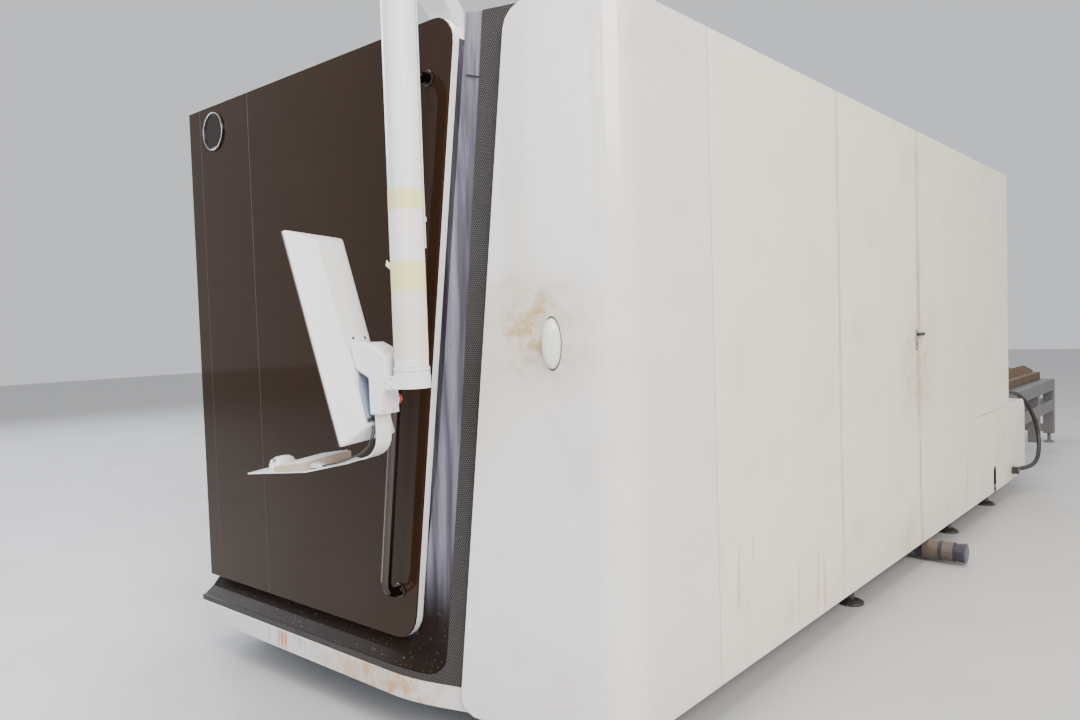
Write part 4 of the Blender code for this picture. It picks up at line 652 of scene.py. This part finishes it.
def holes_mask(tree, given, where, parts):
    row_pitch = times(tree, given["Pitch"], ROW_SHARE)
    across = maths(tree, "DIVIDE", parts[0], given["Pitch"])
    up = maths(tree, "DIVIDE", parts[2], row_pitch)
    distances = []
    for shift in (0.0, 0.5):
        moved = [maths(tree, "ADD", place, shift) for place in (across, up)]
        u, v = (maths(tree, "SUBTRACT", maths(tree, "FRACT", place), 0.5) for place in moved)
        v = times(tree, v, ROW_SHARE)
        square = maths(tree, "ADD", times(tree, u, u), times(tree, v, v))
        distances.append(maths(tree, "SQRT", square))
    nearest = maths(tree, "MINIMUM", *distances)
    edge = maths(tree, "ADD", given["Radius share"], 0.05)
    return ramp(tree, nearest, edge, given["Radius share"])


holes = make_group("round holes", {"Pitch": HOLE_PITCH, "Radius share": HOLE_SHARE}, "Mask",
                   holes_mask)
perforated = make_finish(
    "perforated dark sheet", (0.125, 0.108, 0.1), 0.5, metallic=0.3, bump=0.6, dirt=0.4,
    reach=0.8, distance=0.002)
tree = perforated.node_tree
shader = tree.nodes["Principled BSDF"]
mask = use_group(tree, holes, {})
sheet, relief = (shader.inputs[key].links[0] for key in ("Base Color", "Normal"))
# The near-black in the holes is painted shade of the unlit space behind the sheet.
holes_in_painted_shade = mixed(tree, mask, sheet.from_socket, (0.004, 0.004, 0.004))
feed(tree, relief.from_node, {"Height": maths(tree, "SUBTRACT", 1.0, mask)})
feed(tree, shader, {"Base Color": holes_in_painted_shade})
print("hole pitch", HOLE_PITCH / MM, "mm")

# %% [markdown]
# ## Dressing the CAD nodes
# The solids keep their shape, and get soft edges from a Bevel modifier: no folded sheet or
# sawn tube has a knife edge, and the thin highlight along the fold is what makes metal look
# like metal. The imported mesh has split corners, so a Weld comes first.

# %% Soft edges and finishes for the CAD nodes
FOLD_ANGLE = 40
wardrobe = [
    (side_white_painted_warm_light, 1.6, "side_panel_middle service_door side_panel_rear access_panel "
     "left_panel_front left_panel_rear rear_wall rear_service_box"),
    (cover_white, 1.2, "corner_cover"),
    (roof_white, 2.0, "roof"),
    (front_white_painted_cool_light, 3.0, "front_sill"),
    (latch_white, 1.5, "cover_latch"),
    (console_white, 1.5, "head_carriage cutting_head boom_mast boom_arm console_pole "
     "console_arm screen_mount junction_box screen_shell"),
    (console_white, 0.8, "tray_plate mouse"),
    (door_black, 0.8, "door_glass door_glass_left"),
    (screen_black, 0.5, "screen_glass"),
    (reveal_gloss_painted_reflection, 0.0, "front_surround"),
    (perforated, 0.6, "perforated_trim"),
    (edge_silver, 1.0, "door_frame"),
    (frame_paint, 2.5, "bed_frame_right bed_frame_left enclosure_frame gantry_beam"),
    (table_paint, 2.5, "exchange_frame"),
    (dark_steel, 2.0, "base_frame"),
    (dark_steel, 0.8, "door_channel_bottom door_channel_top idler_drum drive_drum "
     "conveyor_side_left conveyor_side_right"),
    (bright_steel, 0.8, "guide_rail_right guide_rail_left lock_plate"),
    (black_chrome, 0.8, "door_badge"),
    (dark_chrome, 0.0, "door_handle"),
    (cut_steel, 0.6, "upper_pallet lower_pallet"),
    (motor_blue, 0.8, "conveyor_motor"),
    (belt_rubber, 0.0, "conveyor_belt"),
    (hose_rubber, 0.0, "drain_hose"),
    (black_plastic, 0.8, "door_lever upper_gland lower_gland"),
    (red_plastic, 0.8, "stop_button"),
    (brass, 0.6, "gas_panel cutting_nozzle"),
    (grey_plastic, 1.0, "control_cabinet"),
    (tan_plastic, 1.0, "keyboard"),
]
undressed = set(nodes)
for finish, millimetres, names in wardrobe:
    for node_name in names.split():
        undressed.remove(node_name)
        node = nodes[node_name]
        node.data.materials.clear()
        node.data.materials.append(finish)
        if millimetres:
            weld = node.modifiers.new("join corners", "WELD")
            weld.merge_threshold = 0.01 * MM
            soften_edges(node, millimetres, FOLD_ANGLE).harden_normals = True
print("dressed", len(nodes) - len(undressed), "nodes; left:", sorted(undressed))

# %% [markdown]
# ## The drain hose
# A black rubber hose leaves the rear wall, bows out over the end of the machine and comes
# back to a gland low on the service box. It has a real length, so its route is measured.

# %% The hose
HOSE_RADIUS = 0.0165
HOSE_STOPS = [
    (-0.07, 5.4205, 0.8), (-0.07, 5.44, 0.8), (-0.07, 5.5, 0.8),
    (-0.066, 5.62, 0.799), (-0.056, 5.76, 0.791), (-0.038, 5.9, 0.765),
    (-0.01, 6.02, 0.702), (0.02, 6.11, 0.606), (0.048, 6.155, 0.49),
    (0.064, 6.15, 0.39), (0.074, 6.105, 0.302), (0.078, 6.03, 0.24),
    (0.075, 5.93, 0.207), (0.066, 5.82, 0.196), (0.05, 5.72, 0.195),
    (0.034, 5.65, 0.197), (0.0205, 5.605, 0.1995), (0.017, 5.578, 0.2),
    (0.017, 5.5605, 0.2)]


def smooth_route(stops, between):
    """A Catmull-Rom line through the stops, with so many points between each two."""
    stops = [Vector(stop) for stop in stops]
    stops = [stops[0] * 2 - stops[1]] + stops + [stops[-1] * 2 - stops[-2]]
    route = []
    for index in range(1, len(stops) - 2):
        before, start, end, after = stops[index - 1:index + 3]
        slope, bend = end - before, 2 * before - 5 * start + 4 * end - after
        twist = 3 * start - before - 3 * end + after
        for step in range(between + 1):
            t = step / (between + 1)
            route.append(0.5 * (2 * start + slope * t + bend * t * t + twist * t ** 3))
    return route + [stops[-2]]


def make_line(name, points, radius, finish, body, rounds=4, closed=False):
    """A round bar, cable or hose along points in the row frame."""
    curve = bpy.data.curves.new(name, "CURVE")
    curve.dimensions = "3D"
    curve.bevel_depth = radius
    curve.bevel_resolution = rounds
    curve.use_fill_caps = True
    spline = curve.splines.new("POLY")
    spline.points.add(len(points) - 1)
    spline.use_cyclic_u = closed
    for place, point in zip(spline.points, points):
        place.co = (*point, 1.0)
    curve.materials.append(finish)
    line = add_object(name, curve)
    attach(line, body)
    return line


hose_route = [at(*point) for point in smooth_route(HOSE_STOPS, 3)]
hose = make_line("hose", hose_route, HOSE_RADIUS, hose_rubber, "machine", rounds=6)
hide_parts("drain_hose")

# %% [markdown]
# ## The sliding door
# Two sheets of black glass sit in a silver frame. A brown gasket fills the joint between
# the panes and shows as a fine line, and a second line marks where the narrow folded margin
# starts. The round badge keeps its ring but stays blank.

# %% Door lines and badge ring
glass_low, glass_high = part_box("door_glass")
left_low, left_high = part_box("door_glass_left")
JOINT_WIDE = 2.2 * MM
MARGIN_WIDE = 1.6 * MM
MARGIN_FROM_EDGE = 0.1

shape = bmesh.new()
middle = (glass_low.x + left_high.x) / 2
add_box(shape, (middle - JOINT_WIDE / 2, glass_low.y - 0.3 * MM, glass_low.z),
        (middle + JOINT_WIDE / 2, glass_high.y, glass_high.z - 1 * MM))
margin = left_low.x + MARGIN_FROM_EDGE
add_box(shape, (margin - MARGIN_WIDE / 2, left_low.y - 0.5 * MM, left_low.z + 1 * MM),
        (margin + MARGIN_WIDE / 2, left_low.y + 1 * MM, left_high.z - 1 * MM))
place_piece("door_joint_gasket", shape, brown_rubber, "front_door", soften=0.4)

badge_low, badge_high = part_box("door_badge")
badge_centre = (badge_low + badge_high) / 2
badge_radius = (badge_high.x - badge_low.x) / 2 / MM
ring_out, ring_in = badge_radius * 0.985, badge_radius * 0.925
front = (badge_centre.y - badge_low.y) / MM
shape = bmesh.new()
add_turned(shape, [(ring_in, front - 1), (ring_out, front - 1), (ring_out, front + 0.8),
                   (ring_out - 1.5, front + 1.6), (ring_in + 1.5, front + 1.6),
                   (ring_in, front + 0.8)], badge_centre, (0, -1, 0), 64, hollow=True)
place_piece("door_badge_ring", shape, bright_steel, "front_door")
print("badge radius", round(badge_radius), "mm")

# %% [markdown]
# Behind the slanted edge of the door the reveal turns in as a narrow lip, so no daylight
# shows past the door. Its line is read from the back edge of the reveal itself. A dark
# strip bridges the reveal near its top.

# %% Reveal lip and strip
LIP_FOOT, LIP_TOP, LIP_WIDE = 0.72, 2.405, 0.05
LEDGE_TOP = 0.45
back_edge = {}
for vertex in nodes["front_surround"].data.vertices:
    level = round(vertex.co.z, 3)
    if level > LEDGE_TOP and (level not in back_edge or vertex.co.x < back_edge[level].x):
        back_edge[level] = vertex.co.copy()
lowest, highest = back_edge[min(back_edge)], back_edge[max(back_edge)]
lean = (highest.x - lowest.x) / (highest.z - lowest.z)
lip = [(level, lowest.x + lean * (level - lowest.z)) for level in (LIP_FOOT, LIP_TOP)]
lip_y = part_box("door_frame")[1][1] + 6.5 * MM
shape = bmesh.new()
add_prism(shape, [(x + 2 * MM, lip_y, z) for z, x in lip]
          + [(x - LIP_WIDE, lip_y, z) for z, x in reversed(lip)], (0, 1.5 * MM, 0))
place_piece("reveal_lip", shape, reveal_gloss_painted_reflection, "machine")
strip = [spot for spot, _ in seen_at("front_surround", ((456, 72), (466, 75), (479, 77)))]
make_line("reveal_strip", strip, 3 * MM, black_plastic, "machine")
print("lip from", round(lip[0][0], 3), "to", round(lip[1][0], 3), "m; lean", round(lean, 4))

# %% [markdown]
# The handle is one long tube, parallel with the slanted edge of the door. Both ends bend
# back to the glass and land on a turned rosette, because a bare tube pressed on glass
# would crack it.

# %% Handle rosettes
HANDLE_RADIUS = 19 * MM
handle_low, handle_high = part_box("door_handle")
shape = bmesh.new()
for end_x, end_z in ((handle_low.x + HANDLE_RADIUS, handle_low.z + HANDLE_RADIUS),
                     (handle_high.x - HANDLE_RADIUS, handle_high.z - HANDLE_RADIUS)):
    add_turned(shape, [(28, -0.2), (28, 4), (26, 6), (19.5, 6.5)],
               (end_x, glass_low.y, end_z), (0, -1, 0), 40)
place_piece("handle_rosettes", shape, dark_chrome, "front_door")
print("handle", round(handle_high.z - handle_low.z, 3), "m tall")

# %% [markdown]
# ## The pole
# The pole was still in its transport wrap: pale paper round its lower half, held by two
# bands of yellow tape, with the paper yellowing where hands reach. Each is a thin sleeve a
# fraction of a millimetre proud of the tube. A data cable runs down the side, tied on.

# %% Wrap, tape and cable of the pole
POLE_X, POLE_Y, POLE_RADIUS = -0.4, -0.28, 0.05
WRAP_LOW, WRAP_HIGH = 1.382, 1.866
TAPE_BANDS = [(1.577, 1.66), (1.809, 1.868)]


def add_sleeve(shape, low, high, proud):
    profile = [(POLE_RADIUS / MM + proud, z / MM) for z in (low, high)]
    add_turned(shape, profile, at(POLE_X, POLE_Y, 0), (0, 0, 1), 72)


shape = bmesh.new()
add_sleeve(shape, TAPE_BANDS[0][1] - 5 * MM, WRAP_HIGH, 0.4)
place_piece("pole_wrap", shape, wrap_paper, "boom")
shape = bmesh.new()
add_sleeve(shape, WRAP_LOW, TAPE_BANDS[0][0] + 5 * MM, 0.5)
add_sleeve(shape, WRAP_LOW + 0.105, WRAP_LOW + 0.15, 0.7)
place_piece("pole_wrap_low", shape, aged_paper, "boom")
shape = bmesh.new()
for low, high in TAPE_BANDS:
    add_sleeve(shape, low, high, 0.8)
loose_end = ((0.03, 0.042, 1.64), (0.046, 0.045, 1.652), (0.044, 0.043, 1.668),
             (0.03, 0.04, 1.656))
add_prism(shape, [at(POLE_X - x, POLE_Y - y, z) for x, y, z in loose_end], (1 * MM, 1 * MM, 0))
place_piece("pole_tape", shape, yellow_tape, "boom")

side_way = Vector((VIEW_RIGHT.x, VIEW_RIGHT.y, 0)).normalized()
cable_stops = ((2.455, 3), (2.3, 3), (2.1, 3), (1.95, 3), (1.86, 3), (1.82, 3.8),
               (1.79, 3.6), (1.76, 3.4), (1.7, 3.4))
cable = [at(POLE_X, POLE_Y, z) + side_way * (POLE_RADIUS + off * MM) for z, off in cable_stops]
make_line("pole_cable", cable, 2.6 * MM, pale_plastic, "boom")
tie_low, tie_high = (at(POLE_X, POLE_Y, z) + side_way * (POLE_RADIUS + 4 * MM)
                     for z in (1.776, 1.79))
tie_half = Vector((4, 4, 0)) * MM
shape = bmesh.new()
add_box(shape, tie_low - tie_half, tie_high + tie_half)
place_piece("pole_tie_head", shape, pale_plastic, "boom", soften=1.2)
print("wrap", round(WRAP_HIGH - WRAP_LOW, 3), "m tall,", len(TAPE_BANDS), "tape bands")

# %% [markdown]
# ## The console
# The console turns about the pole, so its pieces are drawn in its own axes: x along the
# width of the screen, y away from the operator, z up. The screen leans as well, and has a
# second set: x, depth from the glass to the back of the shell, and the way up.

# %% Axes of the console and the screen
CONSOLE_TURN = radians(-69.3)
SCREEN_LEAN = radians(14.85)
SCREEN_DISTANCE, SCREEN_BOTTOM = 0.163, 1.135
SHELL_DEPTH = 0.059


def on_console(x, y, z):
    return at(POLE_X + x * cos(CONSOLE_TURN) - y * sin(CONSOLE_TURN),
              POLE_Y + x * sin(CONSOLE_TURN) + y * cos(CONSOLE_TURN), z)


def on_screen(x, depth, up):
    y = -SCREEN_DISTANCE + depth * cos(SCREEN_LEAN) - up * sin(SCREEN_LEAN)
    return on_console(x, y, SCREEN_BOTTOM + depth * sin(SCREEN_LEAN) + up * cos(SCREEN_LEAN))


def console_way(x, y, z):
    return on_console(x, y, z) - on_console(0, 0, 0)


SCREEN_BACK = on_screen(0, 1, 0) - on_screen(0, 0, 0)
print("screen foot at", rounded(on_screen(0, 0, 0)))

# %% [markdown]
# The back of the screen has a blue-grey recess behind the casting, where the cables plug
# in. Its plate follows the lean of the shell. Two sockets sit at its lower edge beside a
# wide one, and two slotted screws above the casting hold the shell on.

# %% Back of the screen
RECESS = [(0.03, 0.222), (0.06, 0.15), (0.0675, 0.075), (0.066, 0.046), (-0.062, 0.046),
          (-0.062, 0.222)]
shape = bmesh.new()
add_prism(shape, [on_screen(x, SHELL_DEPTH - 0.4 * MM, up) for x, up in RECESS],
          SCREEN_BACK * 1.2 * MM)
place_piece("screen_recess", shape, blue_grey_plastic, "console", soften=0.5)
shape = bmesh.new()
for x, wide, deep, top in ((0.03, 0.013, 7, 0.06), (0.048, 0.013, 7, 0.06),
                           (-0.05, 0.04, 4, 0.062)):
    add_box(shape, (x, SHELL_DEPTH, 0.05), (x + wide, SHELL_DEPTH + deep * MM, top), on_screen)
place_piece("screen_sockets", shape, black_plastic, "console", soften=0.8)
shape = bmesh.new()
for x in (0.0184, -0.0469):
    add_turned(shape, [(5, -0.4), (5, 1), (3.6, 1.6), (3.6, 0.5)],
               on_screen(x, SHELL_DEPTH, 0.304), SCREEN_BACK, 20)
place_piece("screen_back_screws", shape, black_plastic, "console")
print("recess", round((RECESS[0][1] - RECESS[3][1]) / MM), "mm tall")

# %% [markdown]
# A dark rubber gasket shows as a thin line between the shell and the glass of the screen,
# and a plate with four black screws closes the leg of the casting. Two more screws sit on
# the sloped hood and two on the side of the casting.

# %% Plate, screws and gasket
LEG_BACK = -0.074
LEG_SCREWS = ((0.0447, 1.28), (0.047, 1.229), (-0.01, 1.28), (-0.01, 1.229))
SCREEN_HALF, SCREEN_RISE, RIM = 0.147, 0.646, 1.0 * MM
shape = bmesh.new()
add_box(shape, (-0.016, LEG_BACK - 1 * MM, 1.2204), (0.0525, LEG_BACK + 1.5 * MM, 1.2865),
        on_console)
place_piece("leg_plate", shape, console_white, "console", soften=0.8)
shape = bmesh.new()
for x, z in LEG_SCREWS:
    spot = on_console(x, LEG_BACK + 1.5 * MM, z)
    add_screw(shape, spot, console_way(0, 1, 0), 2.3, 1.2)
for x in (-0.024, 0.024):
    spot = on_console(x, -0.0736, 1.4014)
    add_screw(shape, spot, console_way(0, 0.64, 0.77), 2.0, 1.2)
for z in (1.3, 1.322):
    spot = on_console(0.055, -0.04, z)
    add_screw(shape, spot, console_way(1, 0, 0), 2.0, 1.0)
place_piece("console_screws", shape, black_plastic, "console")
rim = [(-SCREEN_HALF, RIM), (SCREEN_HALF, RIM), (SCREEN_HALF, SCREEN_RISE - RIM),
       (-SCREEN_HALF, SCREEN_RISE - RIM)]
make_line("screen_gasket", [on_screen(x, 2 * MM, up) for x, up in rim], 1.4 * MM,
          brown_rubber, "console", rounds=2, closed=True)
print("plate screws", len(LEG_SCREWS))

# %% [markdown]
# The tray carries a keyboard, a mouse and the looped leads of the screen. The key caps are
# small tapered blocks in staggered rows on the keyboard's slope; the leads are short and
# clipped down, and end in a white joiner lying on the tray.

# %% Keyboard keys
KEYS_BACK, KEYS_FRONT, KEYS_HALF, KEYS_SHIFT = -0.298, -0.395, 0.118, 0.01
KEY_ROWS, KEYS_IN_ROW = 5, 14
TRAY_KINK, TRAY_KINK_Z, TRAY_TIP, TRAY_TIP_Z = 0.29, 1.061, 0.495, 1.05
TRAY_SLOPE = (TRAY_KINK_Z - TRAY_TIP_Z) / (TRAY_TIP - TRAY_KINK)
BOARD_BACK, BOARD_DEEP, BOARD_HIGH, BOARD_FALL = 0.294, 0.105, 0.024, 0.008


def keyboard_top(y):
    fall = BOARD_FALL * (-y - BOARD_BACK) / BOARD_DEEP
    return TRAY_KINK_Z - TRAY_SLOPE * (-y - TRAY_KINK) + BOARD_HIGH - fall


shape = bmesh.new()
row_deep = (KEYS_BACK - KEYS_FRONT) / KEY_ROWS
key_wide = 2 * KEYS_HALF / (KEYS_IN_ROW + 0.5)
for row in range(KEY_ROWS):
    y = KEYS_BACK - row * row_deep
    for column in range(KEYS_IN_ROW):
        x = KEYS_SHIFT - KEYS_HALF + (column + 0.125 * row) * key_wide
        foot = [on_console(x + a * (key_wide - 1.6 * MM), y - b * (row_deep - 1.8 * MM),
                           keyboard_top(y - b * row_deep) - 0.5 * MM)
                for a, b in ((0, 0), (1, 0), (1, 1), (0, 1))]
        cap = [on_console(x + a * key_wide, y - b * row_deep,
                          keyboard_top(y - b * row_deep) + 4.5 * MM)
               for a, b in ((0.12, 0.12), (0.78, 0.12), (0.78, 0.76), (0.12, 0.76))]
        add_loft(shape, foot, cap)
place_piece("keyboard_keys", shape, pale_plastic, "console", soften=0.5, smooth=False)
print("keys", KEY_ROWS * KEYS_IN_ROW)

# %% Mouse wheel and leads
LEAD = [(0.05, -0.1115, 1.186), (0.052, -0.11, 1.165), (0.056, -0.124, 1.128),
        (0.062, -0.148, 1.104), (0.07, -0.178, 1.092), (0.08, -0.208, 1.08),
        (0.09, -0.238, 1.0745), (0.096, -0.26, 1.071)]
wheel = on_console(0.08, -0.44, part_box("mouse")[1][2] - 6.5 * MM)
shape = bmesh.new()
add_turned(shape, [(5, -3), (6, -2), (6, 2), (5, 3)], wheel, console_way(0, 1, 0))
place_piece("mouse_wheel", shape, grey_plastic, "console")
for number, shift in ((1, 0.0), (2, -0.012)):
    lead = [on_console(x + shift, y, z) for x, y, z in smooth_route(LEAD, 3)]
    make_line(f"screen_lead_{number}", lead, 2.2 * MM, black_plastic, "console")
shape = bmesh.new()
add_box(shape, (0.078, -0.283, 1.0645), (0.104, -0.256, 1.076), on_console)
add_box(shape, (0.074, -0.292, 1.065), (0.108, -0.279, 1.079), on_console)
place_piece("lead_joiner", shape, pale_plastic, "console", soften=1.5)
print("wheel at", rounded(wheel))

# %% [markdown]
# ## Screws, latch and lock
# The little dark dots across the reveal and the door edge are screws, placed by their
# pixels in the photograph on the solids that carry them. A screw rides on the body it is
# driven into, so the one in the door edge slides away with the door.

# %% Front screws
FRONT_SCREWS = (
    ("front_screws", "machine", "front_surround", ((450, 345), (460, 346), (468, 160))),
    ("door_edge_screw", "front_door", "door_frame", ((431, 344),)),
)
for piece_name, body, node_name, pixels in FRONT_SCREWS:
    shape = bmesh.new()
    spots = seen_at(node_name, pixels)
    for spot, way in spots:
        add_screw(shape, spot, way, 2.2, 1.0)
    place_piece(piece_name, shape, black_plastic, body)
    print(piece_name, len(spots))

# %% [markdown]
# A dark seal is stuck along the fixed side of each seam in the long side. It lies below the
# surface and leaves the swinging panel its room. A thin dark gasket, cut to the latch's own
# outline and a little wider all round, is glued under the latch and turns with it.

# %% Seam seals and latch gasket
FIXED_SIDES = ((COVER_SEAM, 1), (DOOR_SEAM, -1), (REAR_SEAM, 1))
GASKET_SHARE = 1.07
shape = bmesh.new()
for seam, side in FIXED_SIDES:
    near, far = sorted((seam - side * 0.3 * MM, seam + side * 2.2 * MM))
    add_box(shape, at(-0.012, near, PANEL_BOTTOM + 4 * MM),
            at(-0.0012, far, PANEL_TOP - 4 * MM))
place_piece("seam_seals", shape, brown_rubber, "machine")

latch_low, latch_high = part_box("cover_latch")
latch_middle = (latch_low + latch_high) / 2
turning = next(joint for joint in frame["joints"] if joint["name"] == "cover_latch_turn")
latch_way = Vector(turning["axis"]).normalized()
points = [vertex.co.copy() for vertex in nodes["cover_latch"].data.vertices]
seat = min((point - latch_middle).dot(latch_way) for point in points)
foot = latch_middle + latch_way * seat
shape = bmesh.new()
for point in points:
    flat = point - latch_way * ((point - latch_middle).dot(latch_way) - seat)
    flat = foot + (flat - latch_middle - latch_way * seat) * GASKET_SHARE
    for raised in (-0.2 * MM, 1.2 * MM):
        shape.verts.new(flat + latch_way * raised)
hull = bmesh.ops.convex_hull(shape, input=shape.verts)
inner = [item for item in hull["geom_interior"] if isinstance(item, bmesh.types.BMVert)]
bmesh.ops.delete(shape, geom=inner, context="VERTS")
place_piece("latch_gasket", shape, brown_rubber, "cover_latch")
print("seals", len(FIXED_SIDES), "and a gasket",
      round(GASKET_SHARE * (latch_high.z - latch_low.z) / MM), "mm tall")

# %% [markdown]
# The lock is a turned cylinder with a sunk core, on a plate that two screws hold.

# %% Lock cylinder
lock_low, lock_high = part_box("lock_plate")
lock_y = (lock_low.y + lock_high.y) / 2
shape = bmesh.new()
add_turned(shape, [(8, -0.5), (8, 2.5), (7, 3.2), (4, 3.2), (4, 2.2)],
           (lock_high.x, lock_y, lock_low.z + 0.035), (1, 0, 0), 32)
for z in (lock_low.z + 0.009, lock_high.z - 0.009):
    add_screw(shape, (lock_high.x, lock_y, z), (1, 0, 0), 2.6, 1.4)
place_piece("lock_cylinder", shape, brushed_steel, "service_door")
print("lock plate", round((lock_high.z - lock_low.z) / MM), "mm tall")

# %% [markdown]
# ## Back end
# The hose is held by a steel band at each gland. The service box and the panel beside it
# are fixed with pan-head screws down their upright edges.

# %% Hose bands and panel screws
band_in, band_out = HOSE_RADIUS / MM, HOSE_RADIUS / MM + 0.9
shape = bmesh.new()
for index in (2, -3):
    add_turned(shape, [(band_in, -4), (band_out, -4), (band_out, 4), (band_in, 4)],
               hose_route[index], hose_route[index + 1] - hose_route[index - 1], 40,
               hollow=True)
place_piece("hose_bands", shape, bright_steel, "machine")

shape = bmesh.new()
for name, across in (("access_panel", (0.06, 0.94)), ("rear_service_box", (0.08, 0.92))):
    low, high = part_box(name)
    for share_y in across:
        for share_z in (0.05, 0.5, 0.95):
            y, z = low.y + (high.y - low.y) * share_y, low.z + (high.z - low.z) * share_z
            add_screw(shape, (high.x, y, z), (1, 0, 0), 4, 1.6)
place_piece("panel_screws", shape, brushed_steel, "machine")
print("band radius", round(band_out, 1), "mm")

# %% [markdown]
# The chip motor is dark blue at its end and in a band round its middle, with beige sleeves
# and thin cooling fins between. Each of them is a ring that rises over a short slope.

# %% Motor sleeves, fins and bands
motor_low, motor_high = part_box("conveyor_motor")
motor_middle = (motor_low + motor_high) / 2
motor_radius = (motor_high.y - motor_low.y) / 2 / MM
FIN_PITCH = 9
BEIGE_SLEEVES = ((-235, 87), (-128, 60))
BLUE_BANDS = ((-148, 20), (-68, 10), (-14, 12))


def add_ring(shape, start, length, sunk, rise, slope):
    """A ring round the motor, in mm, its start measured from the free end."""
    foot, top = motor_radius - sunk, motor_radius + rise
    add_turned(shape, [(foot, 0), (top, slope), (top, length - slope), (foot, length)],
               (motor_high.x + start * MM, motor_middle.y, motor_middle.z), (1, 0, 0), 40)


shape = bmesh.new()
for start, length in BEIGE_SLEEVES:
    add_ring(shape, start, length, 1, 1, 1)
    for step in range(int(length / FIN_PITCH)):
        add_ring(shape, start + 3 + step * FIN_PITCH, 2.6, 0, 2.5, 0.4)
place_piece("motor_fins", shape, motor_beige, "machine")
shape = bmesh.new()
for start, length in BLUE_BANDS:
    add_ring(shape, start, length, 1, 3, 1)
place_piece("motor_end_bells", shape, motor_blue, "machine")
print("motor radius", round(motor_radius), "mm")

# %% [markdown]
# ## The roof
# Sheets of the roof meet in raised folded seams that line up with the seams of the side
# panels, with one more further back, and each sheet is screwed down along the edge.

# %% Roof seams and screws
ROOF_SEAM = 4.25
SCREWS_ALONG = 18
roof_low, roof_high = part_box("roof")
shape = bmesh.new()
for seam in (COVER_SEAM, DOOR_SEAM, REAR_SEAM, ROOF_SEAM):
    y = FRONT_Y + seam
    add_box(shape, (roof_low.x + 0.02, y - 4 * MM, roof_high.z - 1 * MM),
            (roof_high.x - 0.02, y + 4 * MM, roof_high.z + 14 * MM))
place_piece("roof_seams", shape, roof_white, "machine", soften=2)
shape = bmesh.new()
gap = (roof_high.y - roof_low.y - 0.2) / (SCREWS_ALONG - 1)
for x in (roof_low.x + 0.05, roof_high.x - 0.05):
    for step in range(SCREWS_ALONG):
        spot = (x, roof_low.y + 0.1 + step * gap, roof_high.z)
        add_screw(shape, spot, (0, 0, 1), 5, 2.5)
place_piece("roof_screws", shape, brushed_steel, "machine")
print("roof", round(roof_high.y - roof_low.y, 2), "m long")

# %% [markdown]
# ## Floor and light
# The floor is a pale, faintly mottled hall floor that reaches a long way off on all sides,
# and above it is nothing but the even grey of the hall.

# %% Floor
FLOOR_HALF = 30.0
centre = at(-1.2, 3.5, 0.0)
shape = bmesh.new()
shape.faces.new([shape.verts.new((centre.x + x * FLOOR_HALF, centre.y + y * FLOOR_HALF, 0.0))
                 for x, y in ((-1, -1), (1, -1), (1, 1), (-1, 1))])
mesh = bpy.data.meshes.new("floor")
shape.to_mesh(mesh)
shape.free()
mottle = {"Grime": (0.36, 0.35, 0.34), "Amount": 0.5, "Reach": 1.0, "Scale": 1.5}
mesh.materials.append(build_finish("pale hall floor", (0.5, 0.5, 0.5), [(grime, mottle)],
                                   {"Roughness": 0.45, "Spread": 0.1, "Scale": 1.2}))
add_object("floor", mesh)
print("floor laid")

# %% [markdown]
# The key is a large warm window, high up to the right of the camera. A cool fill comes
# from in front, a wide window far to the left shines on the reveal, and a tall narrow
# strip puts an upright highlight on the rounded corner. A panel hangs over the roof.

# %% Lights
LIGHTS = (
    ("key window", (7, -2, 6), (-0.3, 2, 1.2), (6, 5), 1200, (1, 0.945, 0.87)),
    ("front fill", (-0.5, -8, 4), (-1.2, 0, 1.3), (5, 4), 330, (0.7, 0.8, 1)),
    ("left window", (-13, 1, 7.5), (-0.5, 0.3, 0.8), (8, 6), 1500, (0.88, 0.92, 1)),
    ("tall strip", (4.2, -5.6, 2.9), (-0.1, 0, 1.3), (0.5, 4.2), 70, (1, 0.98, 0.95)),
    ("overhead", (-1.2, 2.5, 7.5), (-1.2, 2.5, 0), (6, 10), 700, (1, 1, 1)))
for name, place, target, size, power, colour in LIGHTS:
    light = bpy.data.lights.new(name, "AREA")
    light.shape = "RECTANGLE"
    light.size, light.size_y = size
    light.energy = power
    light.color = colour
    lamp = add_object(name, light)
    aim = (at(*target) - at(*place)).to_track_quat("-Z", "Y").to_matrix().to_4x4()
    lamp.matrix_world = Matrix.Translation(at(*place)) @ aim
world = bpy.data.worlds.new("hall")
bpy.context.scene.world = world
world.use_nodes = True
feed(world.node_tree, world.node_tree.nodes["Background"],
     {"Color": (0.9, 0.92, 0.95), "Strength": 0.8})
print(len(LIGHTS), "lights set")
